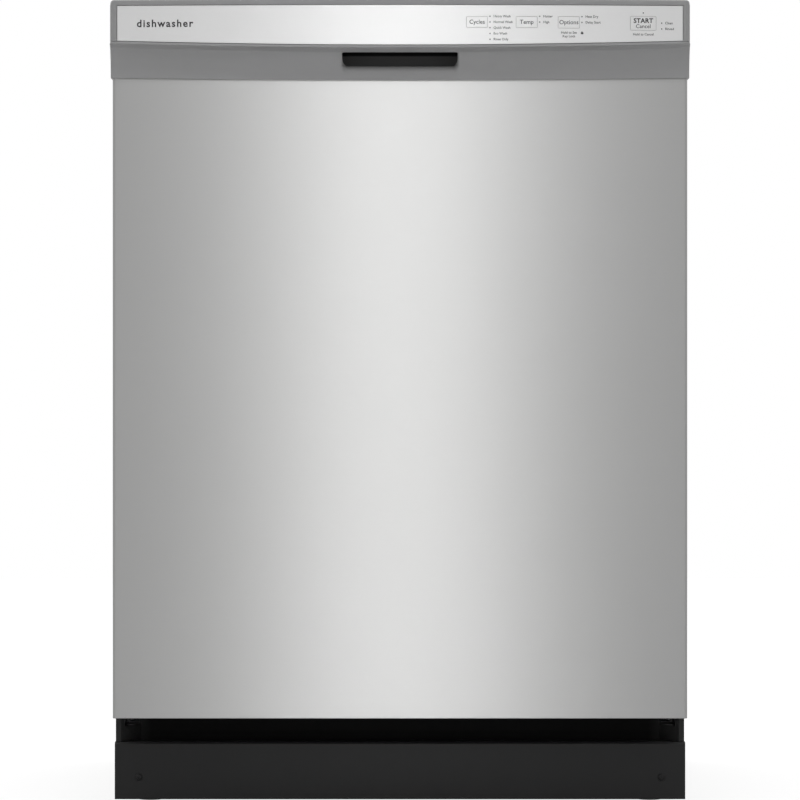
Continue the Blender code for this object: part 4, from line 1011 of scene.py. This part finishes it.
def make_lower_rack():
    """The lower rack's wires, with a runner, two axles and their wheels each side."""
    bm = bmesh.new()
    rack_wires(bm, "lower_rack")
    tines(bm, "lower_rack", (-0.182, -0.118, -0.050, 0.014, 0.082), 0.062, 0.006)
    low = LEVELS["lower_rack"][0]
    wheel_lo, wheel_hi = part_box("lower_rack_wheel_front_left")
    axle_z = (wheel_lo.z + wheel_hi.z) / 2
    for side in (-1, 1):
        runner, drop = side * 0.2380, side * 0.2385
        axle = one_side(side, 0.2370, 0.2585)
        wire(bm, [(runner, RACK_FRONT + 0.030, low + 0.0012), (runner, RACK_BACK - 0.030, low + 0.0012)],
             0.0030, sides=10)
        for y in WHEEL_Y:
            wire(bm, [(drop, y - 0.014, low), (drop, y - 0.0045, axle_z), (drop, y + 0.0045, axle_z),
                      (drop, y + 0.014, low)], 0.0028, 0.004, 10)
            turned(bm, "X", (y, axle_z), [(x, 0.0025) for x in axle], 16)
    piece("lower_rack_wires", bm, "rack_wire", 50, stands_for=["lower_rack"])
    for node in NODES:
        if node.startswith("lower_rack_wheel"):
            make_wheel(node)


def make_wheel(node):
    """A grooved roller on six spokes."""
    lo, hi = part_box(node)
    middle = (lo + hi) / 2
    half, radius = (hi.x - lo.x) / 2, (hi.z - lo.z) / 2
    tread = [(half - 0.0005, radius - 0.0006), (half - 0.0022, radius)]
    right = [(half, radius - 0.0025), (half - 0.0005, radius - 0.0035), (0.0015, radius - 0.0045),
             (0.0015, 0.0070), (half - 0.0004, 0.0065), (half, 0.0060), (half, 0.0029)]
    profile = [(-d, r) for d, r in tread] + tread[::-1] + right + [(-d, r) for d, r in right[::-1]]
    bm = bmesh.new()
    turned(bm, "X", (middle.y, middle.z), [(middle.x + d, r) for d, r in profile], 40, closed=True)
    for i in range(6):
        turn = Matrix.Rotation(math.tau * i / 6, 4, "X")
        spoke = bmesh.new()
        block(spoke, (-half + 0.0012, -0.0007, 0.0060), (half - 0.0012, 0.0007, radius - 0.0040))
        bmesh.ops.transform(spoke, matrix=Matrix.Translation(middle) @ turn, verts=spoke.verts)
        absorb(bm, spoke)
    piece(f"{node}_roller", bm, "rack_grey", 30, stands_for=[node])


def make_upper_rack():
    """The upper rack's wires, and the moulded runners and clips on them."""
    bm = bmesh.new()
    rack_wires(bm, "upper_rack")
    tines(bm, "upper_rack", (-0.118, -0.040, 0.040, 0.118, 0.178), 0.046, 0.005)
    piece("upper_rack_wires", bm, "rack_wire", 50, stands_for=["upper_rack"])
    runner_z, runner_y = 0.5300, RACK_FRONT + 0.008
    bars = bmesh.new()
    for side in (-1, 1):
        x0, x1 = one_side(side, 0.2640, 0.2740)
        block(bars, (x0, runner_y, runner_z - 0.007), (x1, RACK_BACK, runner_z + 0.007))
        x0, x1 = one_side(side, 0.2425, 0.2680)
        for y in (RACK_FRONT + 0.050, (RACK_FRONT + RACK_BACK) / 2, RACK_BACK - 0.050):
            block(bars, (x0, y - 0.0040, runner_z - 0.0045), (x1, y + 0.0040, runner_z + 0.0045))
    hoops = between(RACK_FRONT + HOOP_INSET, RACK_BACK - HOOP_INSET, 5)
    for y in (hoops[1], hoops[4]):
        block(bars, (-0.2500, y - 0.006, 0.5540), (-0.2418, y + 0.006, 0.5700))
    bevel(piece("upper_rack_runners", bars, "rack_grey", 30, body="upper_rack"), 0.0012, 3)


def make_cup_shelf():
    """The folding shelf: a wire frame with dipped cross wires."""
    lo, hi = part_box("cup_shelf")
    x0, x1, y0, y1 = lo.x + WIRE_R, hi.x - WIRE_R, lo.y + WIRE_R, hi.y - WIRE_R
    z = (lo.z + hi.z) / 2
    bm = bmesh.new()
    wire(bm, [(x0, y0, z), (x1, y0, z), (x1, y1, z), (x0, y1, z)], WIRE_R, 0.012, 10, closed=True)
    for y in between(lo.y + 0.026, hi.y - 0.026, 11):
        dip = [(x0, y, z), (lo.x + 0.014, y, z - 0.001), (hi.x - 0.014, y, z - 0.001), (x1, y, z)]
        wire(bm, dip, THIN_R, 0.006)
    piece("cup_shelf_wires", bm, "rack_wire", 50, stands_for=["cup_shelf"])


def make_basket():
    """The cutlery basket: moulded grids, three cells and a hoop handle."""
    lo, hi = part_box("silverware_basket")
    top, wall, bar, floor_bar = hi.z - 0.0440, 0.0022, 0.0042, 0.0036
    span_y, tall = hi.y - lo.y, top - lo.z
    inner_x, inner_y, third = hi.x - lo.x - 2 * wall, span_y - 2 * wall, span_y / 3
    bm = bmesh.new()
    for x in (lo.x, hi.x - wall):
        lattice(bm, (x, lo.y, lo.z), (0, span_y, 0), (0, 0, tall), (24, 9), bar, (wall, 0, 0))
    for y in (lo.y, lo.y + third, lo.y + 2 * third, hi.y - wall):
        lattice(bm, (lo.x + wall, y, lo.z), (inner_x, 0, 0), (0, 0, tall), (6, 9), bar, (0, wall, 0))
    lattice(bm, (lo.x + wall, lo.y + wall, lo.z), (inner_x, 0, 0), (0, inner_y, 0), (7, 28), floor_bar,
            (0, 0, wall))
    bevel(piece("basket_grids", bm, "rack_grey", 30, stands_for=["silverware_basket"]), 0.0004, 1, 60)
    body = BODY_OF["silverware_basket"]
    handle, middle = bmesh.new(), (lo.x + hi.x) / 2
    near, far = lo.y + third + wall / 2, lo.y + 2 * third + wall / 2
    wire(handle, [(middle, near, top - 0.010), (middle, near, hi.z - 0.004), (middle, far, hi.z - 0.004),
                  (middle, far, top - 0.010)], 0.0040, 0.022, 12)
    piece("basket_handle", handle, "rack_grey", 50, body=body)
    rim = bmesh.new()
    for x in (lo.x, hi.x - wall - 0.0012):
        block(rim, (x, lo.y, top - 0.0040), (x + wall + 0.0012, hi.y, top))
    bevel(piece("basket_rim", rim, "rack_grey", 30, body=body), 0.0009, 2)


# ---------------------------------------------------------------- sprays, filter, heater
SPRAY_Y, REST_TURN = 0.020, math.radians(28)
PIPE_Z = 0.4640


def make_spray_arm(node, z, reach, hub):
    """A moulded two-bladed arm with a row of nozzles on each blade."""
    turn = Matrix.Translation((0, SPRAY_Y, z)) @ Matrix.Rotation(REST_TURN, 4, "Z")
    bm = bmesh.new()
    rings = []
    for share in [-1 + 0.0001] + between(-0.985, 0.985, 32) + [1 - 0.0001]:
        far = abs(share)
        round_off = math.sqrt(max(0.0, 1 - (max(far - 0.93, 0) / 0.07) ** 2))
        width = (0.0245 - 0.0125 * far**0.8) * (0.25 + 0.75 * round_off)
        thick = (0.0058 - 0.0016 * far) * (0.35 + 0.65 * round_off)
        ring = []
        for k in range(20):
            a = math.tau * k / 20
            c, q = math.cos(a), math.sin(a)
            ring.append(turn @ Vector((share * reach, math.copysign(abs(c) ** 0.8, c) * width,
                                       math.copysign(abs(q) ** 0.8, q) * thick)))
        rings.append(ring)
    absorb(bm, loft(rings))
    for side in (-1, 1):
        for i, share in enumerate((0.24, 0.40, 0.55, 0.70, 0.86)):
            spot = turn @ Vector((side * share * reach, side * (0.0035 if i % 2 else -0.0035), 0))
            top = z + 0.0048 - 0.0012 * share
            turned(bm, "Z", (spot.x, spot.y), [(top - 0.004, 0.0058), (top, 0.0058), (top + 0.0010, 0.0048),
                                               (top + 0.0010, 0.0022), (top - 0.0010, 0.0016)], 20)
    low, high = hub
    turned(bm, "Z", (0, SPRAY_Y), [(low, 0.0128), (low + 0.0015, 0.0145), (high - 0.0020, 0.0148),
                                   (high, 0.0128), (high, 0.0070), (high - 0.0012, 0.0060)], 40)
    for rib in circle(12, 0.0142, (0, SPRAY_Y)):
        turned(bm, "Z", rib, [(low + 0.0015, 0.0008), (high - 0.0022, 0.0008)], 8)
    piece(f"{node}_blades", bm, "rack_grey", 40, stands_for=[node])


def make_heater():
    """The heater's loop on the tub's floor, and the two nuts where it goes through."""
    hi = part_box("heating_element")[1]
    radius, cut = 0.0040, 0.045
    half, z = hi.x - radius, 0.1540
    front, back = SPRAY_Y - 0.165, SPRAY_Y + 0.165
    start, stem, foot = front - 0.030, 0.030, 0.1300
    right = [(stem, start, foot), (stem, start, z), (stem, front, z), (half - cut, front, z),
             (half, front + cut, z), (half, back - cut, z), (half - cut, back, z)]
    bm = bmesh.new()
    wire(bm, right + [(-x, y, at) for x, y, at in right[::-1]], radius, 0.035, 16)
    for x in (-stem, stem):
        nut = [(0.1282, 0.0085), (0.1330, 0.0085), (0.1345, 0.0070), (0.1345, 0.0038)]
        turned(bm, "Z", (x, start), nut, 6)
    piece("heater_loop", bm, "heater_metal", 40, stands_for=["heating_element"])


def make_feed():
    """The moulded tube up the tub's back, the nozzle it feeds at the top, and the upper rack's pipe."""
    radius, top, y = 0.0085, 0.8120, 0.2740
    bm = bmesh.new()
    wire(bm, [(0, 0.1050, 0.1400), (0, 0.2500, 0.1400), (0, y, 0.1640), (0, y, top - 0.022),
              (0, y - 0.022, top), (0, SPRAY_Y - 0.012, top)], radius, 0.020, 20)
    turned(bm, "Y", (0, PIPE_Z), [(0.2560, 0.0095), (0.2575, 0.0110), (0.2700, 0.0110)], 32)
    for z in (0.300, 0.640):
        collar = [(z - 0.006, 0.0087), (z - 0.005, 0.0098), (z + 0.005, 0.0098), (z + 0.006, 0.0087)]
        turned(bm, "Z", (0, y), collar, 32)
    piece("feed_tube", bm, "rack_grey", 40, stands_for=["spray_feed_tube"])
    nozzle = bmesh.new()
    turned(nozzle, "Z", (0, SPRAY_Y), [(0.7850, 0.0100), (0.7822, 0.0240), (0.7820, 0.0385), (0.7832, 0.0400),
                                       (0.7885, 0.0400), (0.7900, 0.0385), (0.7935, 0.0170), (0.7950, 0.0140),
                                       (0.8030, 0.0140)], 48)
    for jet in circle(10, 0.029, (0, SPRAY_Y)):
        turned(nozzle, "Z", jet, [(0.7812, 0.0030), (0.7812, 0.0044), (0.7830, 0.0050)], 14)
    piece("top_nozzle", nozzle, "rack_grey", 40, stands_for=["top_spray_nozzle"])
    pipe = bmesh.new()
    wire(pipe, [(0, 0.2520, PIPE_Z), (0, SPRAY_Y + 0.006, PIPE_Z)], 0.0075, 0, 24)
    collar = [(0.2420, 0.0075), (0.2430, 0.0092), (0.2500, 0.0092), (0.2520, 0.0080)]
    turned(pipe, "Y", (0, PIPE_Z), collar, 32)
    turned(pipe, "Z", (0, SPRAY_Y), [(0.4565, 0.0110), (0.4660, 0.0110), (0.4690, 0.0080)], 32)
    piece("upper_feed_pipe", pipe, "rack_grey", 40, stands_for=["upper_rack_feed_pipe"])


def make_filter():
    """The filter's cylinder and the bar to lift it out by."""
    x, y = round_of("filter_cylinder")[2]
    bm = bmesh.new()
    turned(bm, "Z", (x, y), [(0.0660, 0.0335), (0.1270, 0.0365), (0.1325, 0.0370), (0.1365, 0.0362),
                             (0.1380, 0.0340), (0.1380, 0.0285), (0.1366, 0.0262), (0.0700, 0.0240)], 56)
    piece("filter_can", bm, "rack_grey", 35, stands_for=["filter_cylinder"])
    knob = bmesh.new()
    block(knob, (x - 0.0300, y - 0.0030, 0.1290), (x + 0.0300, y + 0.0030, 0.1450))
    bevel(piece("filter_knob", knob, "rack_grey", 30, body=BODY_OF["filter_cylinder"]), 0.0022, 4)


def make_float():
    """The float's domed cap."""
    lo, hi, centre, radius = round_of("float_dome")
    dome = [(hi.z - 0.0080 * (1 - math.sin(a)), radius - 0.0060 * (1 - math.cos(a)))
            for a in between(0, math.pi / 2, 6)]
    profile = [(lo.z, radius - 0.0010), (lo.z + 0.0012, radius)] + dome
    bm = bmesh.new()
    turned(bm, "Z", centre, profile + [(hi.z - 0.0004, 0.004), (hi.z - 0.0004, 0.0)], 48)
    piece("float_cap", bm, "white_plastic", 40, stands_for=["float_dome"])


# ---------------------------------------------------------------- pieces on the inner door
def make_vent():
    """The round white vent with a grille of slots."""
    lo, hi, centre, radius = round_of("door_vent", "Y")
    row_step = 0.0066
    bm = bmesh.new()
    turned(bm, "Y", centre, [(lo.y, radius - 0.0045), (hi.y - 0.0045, radius - 0.0045),
                             (hi.y - 0.0045, radius), (hi.y - 0.0014, radius),
                             (hi.y - 0.0004, radius - 0.0008), (hi.y, radius - 0.0022),
                             (hi.y, radius - 0.0060), (hi.y - 0.0012, radius - 0.0072)], 64)
    vent = piece("vent_grille", bm, "white_plastic", 35, stands_for=["door_vent"])
    slots = []
    for row in range(-4, 5):
        z = centre[1] + row * row_step
        half = math.sqrt((radius - 0.0095) ** 2 - (row * row_step) ** 2)
        outline = rounded((centre[0] - half, z - 0.0018), (centre[0] + half, z + 0.0018), 0.0017, 4)
        slots.append(prism(outline, "Y", hi.y - 0.012, hi.y + 0.01))
    carve(vent, slots)
    crisp(vent, 30)


def make_rinse_cap():
    """The blue rinse-aid cap: a ridged disc with a bar to turn it by."""
    lo, hi, (x, z), radius = round_of("rinse_aid_cap", "Y")
    face = -0.2165
    bm = bmesh.new()
    turned(bm, "Y", (x, z), [(lo.y, radius - 0.0005), (face - 0.0016, radius - 0.0005),
                             (face - 0.0004, radius - 0.0012), (face, radius - 0.0026),
                             (face, radius - 0.0050), (face - 0.0008, radius - 0.0060)], 56)
    for ridge in circle(28, radius - 0.0006, (x, z)):
        turned(bm, "Y", ridge, [(face - 0.0060, 0.0006), (face - 0.0014, 0.0006)], 8)
    piece("rinse_cap_disc", bm, "blue_plastic", 35, stands_for=["rinse_aid_cap"])
    grip = bmesh.new()
    reach = (radius - 0.0005) * 0.80
    block(grip, (x - reach, face - 0.0010, z - 0.0030), (x + reach, hi.y, z + 0.0030))
    bevel(piece("rinse_cap_grip", grip, "blue_plastic", 30, body="rinse_aid_cap"), 0.0014, 4)


def make_liner_fields():
    """Raised fields pressed into the inner door."""
    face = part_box("door_inner_liner")[1].y
    bm = bmesh.new()
    fields = [(x0, 0.195, x1, 0.345) for x0, x1 in ((-0.235, -0.095), (-0.070, 0.070), (0.095, 0.235))]
    for x0, z0, x1, z1 in fields + [(-0.235, 0.505, 0.235, 0.620)]:
        pad(bm, (x0, z0), (x1, z1), "Y", face - 0.0003, face + 0.0022, 0.018, 0.0022)
    piece("liner_fields", bm, "tub_grey", 60, body="door")


def make_tub_fields():
    """Raised fields on the tub's walls, which stiffen the moulding."""
    wall_x, wall_y, sunk, proud = 0.2805, 0.2895, 0.0003, 0.0020
    bm = bmesh.new()
    for side in (-1, 1):
        for z0, z1 in ((0.220, 0.330), (0.360, 0.470), (0.590, 0.770)):
            base, top = side * (wall_x + sunk), side * (wall_x - proud)
            pad(bm, (-0.170, z0), (0.215, z1), "X", base, top, 0.022, 0.002)
    for x0, x1 in ((-0.225, -0.045), (0.045, 0.225)):
        for z0, z1 in ((0.200, 0.440), (0.480, 0.770)):
            pad(bm, (x0, z0), (x1, z1), "Y", wall_y + sunk, wall_y - proud, 0.024, 0.002)
    piece("tub_fields", bm, "tub_grey", 60, body="cabinet")


# ---------------------------------------------------------------- seal, springs, legs, screws, pump
def make_gasket():
    """A rubber bulb on a flat foot, round the tub's mouth."""
    lo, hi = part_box("tub_gasket")
    half, bulb = 0.0040, 0.0027
    x, z, deep = hi.x - half, hi.z - half, hi.y - lo.y
    foot = -deep * 0.30
    route = [Vector((p.x, hi.y, p.z)) for p in
             filleted([(-x, 0, lo.z), (-x, 0, z), (x, 0, z), (x, 0, lo.z)], 0.022, 10)]
    section = [(-half, 0), (-half, foot)]
    section += [(-bulb * math.cos(a), foot - deep * 0.70 * math.sin(a)) for a in between(0, math.pi, 10)]
    section += [(half, foot), (half, 0)]
    bm = bmesh.new()
    swept(bm, route, section, up=(0, 1, 0))
    piece("gasket_bulb", bm, "gasket_rubber", 50, stands_for=["tub_gasket"])


def make_spring(node):
    """A close-wound tension spring with a hook at each end."""
    lo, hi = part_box(node)
    side = 1 if lo.x > 0 else -1
    gauge = 0.0010
    outer = hi.x if side > 0 else lo.x
    x = side * 0.2850
    hook = Vector((x, lo.y + gauge, hi.z - gauge))
    hook_in = hook + Vector((0, 0.012, -0.001))
    coil_from = Vector((x, hook.y + 0.0405, hook.z - 0.0162))
    coil_to = Vector((x, hook.y + 0.185, hook.z - 0.052))
    anchor = Vector((x, hook.y + 0.215, hook.z - 0.060))
    along = (coil_to - coil_from).normalized()
    up = Vector((side, 0, 0))
    across = along.cross(up)
    turns, around, radius = 44, 12, 0.0052
    coil = []
    for i in range(turns * around + 1):
        a = math.tau * i / around
        middle = coil_from.lerp(coil_to, i / (turns * around))
        coil.append(middle + (up * math.cos(a) + across * math.sin(a)) * radius)
    start = [Vector((outer - side * gauge * 1.5, hook.y, hook.z)),
             Vector((x - side * 0.0005, hook.y, hook.z)), hook_in, coil_from - along * 0.004]
    bm = bmesh.new()
    wire(bm, filleted(start, 0.006, 4) + coil + [coil_to + along * 0.004, anchor], gauge)
    piece(f"{node}_coil", bm, "galvanised_steel", 60, stands_for=[node])


def make_leg(node):
    """A levelling leg: a round foot, a hexagon to turn it by and a threaded rod."""
    lo, hi, centre, radius = round_of(node)
    bm = bmesh.new()
    turned(bm, "Z", centre, [(lo.z, radius - 0.0018), (lo.z + 0.0012, radius), (lo.z + 0.0035, radius),
                             (lo.z + 0.0048, radius - 0.0022), (lo.z + 0.0048, 0.0030)], 40)
    turned(bm, "Z", centre, [(lo.z + 0.0040, 0.0090), (lo.z + 0.0075, 0.0090), (lo.z + 0.0080, 0.0080),
                             (lo.z + 0.0080, 0.0030)], 6)
    pitch, crest, root = 0.0015, 0.00495, 0.0042
    thread, z = [(lo.z + 0.0060, root)], lo.z + 0.0082
    while z < hi.z - 0.0030:
        thread += [(z, root), (z + pitch * 0.45, crest), (z + pitch * 0.60, crest)]
        z += pitch
    turned(bm, "Z", centre, thread + [(z, root), (hi.z - 0.0006, root), (hi.z, root - 0.0008)], 20)
    piece(f"{node}_foot", bm, "galvanised_steel", 25, stands_for=[node])


def make_toe_screw(node):
    """A domed screw with a cross cut in its head."""
    lo, hi, (x, z), radius = round_of(node, "Y")
    bm = bmesh.new()
    crown = [(lo.y + 0.0020 * (1 - math.cos(a)), radius * math.sin(a)) for a in between(0.05, math.pi / 2, 8)]
    turned(bm, "Y", (x, z), crown + [(lo.y + 0.0022, 0.0018), (hi.y - 0.002, 0.0016), (hi.y, 0.0004)], 40)
    screw = piece(f"{node}_head", bm, "toe_black", 40, stands_for=[node])
    arms = [rounded((x - wide, z - tall), (x + wide, z + tall), 0.0002, 2)
            for wide, tall in ((0.0023, 0.00052), (0.00052, 0.0023))]
    carve(screw, [prism(arm, "Y", lo.y - 0.001, lo.y + 0.0011) for arm in arms])
    crisp(screw, 40)


def make_motor():
    """The wash motor: a flange and a finned body."""
    lo, hi, centre, _ = round_of("wash_motor", "X")
    profile = [(lo.x, 0.0240), (lo.x + 0.0165, 0.0240), (lo.x + 0.0170, 0.0400), (lo.x + 0.0190, 0.0420),
               (lo.x + 0.0370, 0.0420), (lo.x + 0.0390, 0.0400), (lo.x + 0.0395, 0.0345)]
    for i in range(9):
        x = lo.x + 0.0450 + i * 0.0078
        profile += [(x, 0.0345), (x + 0.0008, 0.0360), (x + 0.0036, 0.0360), (x + 0.0044, 0.0345)]
    profile += [(hi.x - 0.0030, 0.0345), (hi.x, 0.0300), (hi.x, 0.0100), (hi.x - 0.0020, 0.0080)]
    bm = bmesh.new()
    turned(bm, "X", centre, profile, 48)
    piece("motor_body", bm, "motor_black", 30, stands_for=["wash_motor"])


def make_blanket():
    """The felt round the tub: soft corners and the slight waviness of a felt pulled round a box."""
    lo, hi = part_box("insulation_blanket")
    radius, wave_depth = 0.012, 0.0014
    bm = bmesh.new()
    bmesh.ops.create_cube(bm, size=1.0)
    bmesh.ops.subdivide_edges(bm, edges=bm.edges, cuts=30, use_grid_fill=True)
    middle, half = (lo + hi) / 2, (hi - lo) / 2
    for v in bm.verts:
        at = Vector([c * 2 * h for c, h in zip(v.co, half)])
        core = Vector([max(-h + radius, min(h - radius, c)) for c, h in zip(at, half)])
        away = (at - core).normalized()
        wave = noise_at(at * 9) * 0.5 + 0.5
        wave += 0.5 * (noise_at(at * 31) * 0.5 + 0.5)
        place = (core + away * radius) - away * wave * wave_depth + middle
        if at.y < -half.y + 1e-5:
            place.y = lo.y
        if at.z < -half.z + 1e-5:
            place.z = lo.z
        v.co = place
    blanket = piece("blanket_felt_wrap", bm, "blanket_felt", 50, stands_for=["insulation_blanket"])
    room, inner, tub_hi = bmesh.new(), 0.2845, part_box("tub")[1]
    block(room, (-inner, lo.y - 0.02, lo.z - 0.02), (inner, tub_hi.y + 0.0015, tub_hi.z))
    carve(blanket, [room])
    smoothed(blanket, 45)


make_materials()
make_camera()
make_world()
make_stage()
bpy.context.scene.view_settings.view_transform = "Standard"
finish_cad_nodes()
make_console()
make_fascia()
make_printing()
make_door_skin()
make_liner_fields()
make_vent()
make_rinse_cap()
make_tub_fields()
make_gasket()
make_lower_rack()
make_upper_rack()
make_cup_shelf()
make_basket()
make_spray_arm("lower_spray_arm", 0.1760, 0.222, (0.1200, 0.1880))
make_spray_arm("middle_spray_arm", 0.4480, 0.200, (0.4380, 0.4560))
make_heater()
make_feed()
make_filter()
make_float()
make_motor()
make_blanket()
for side_name in ("left", "right"):
    make_spring(f"hinge_spring_{side_name}")
    make_toe_screw(f"toe_kick_screw_{side_name}")
    for end_name in ("front", "rear"):
        make_leg(f"leg_{end_name}_{side_name}")
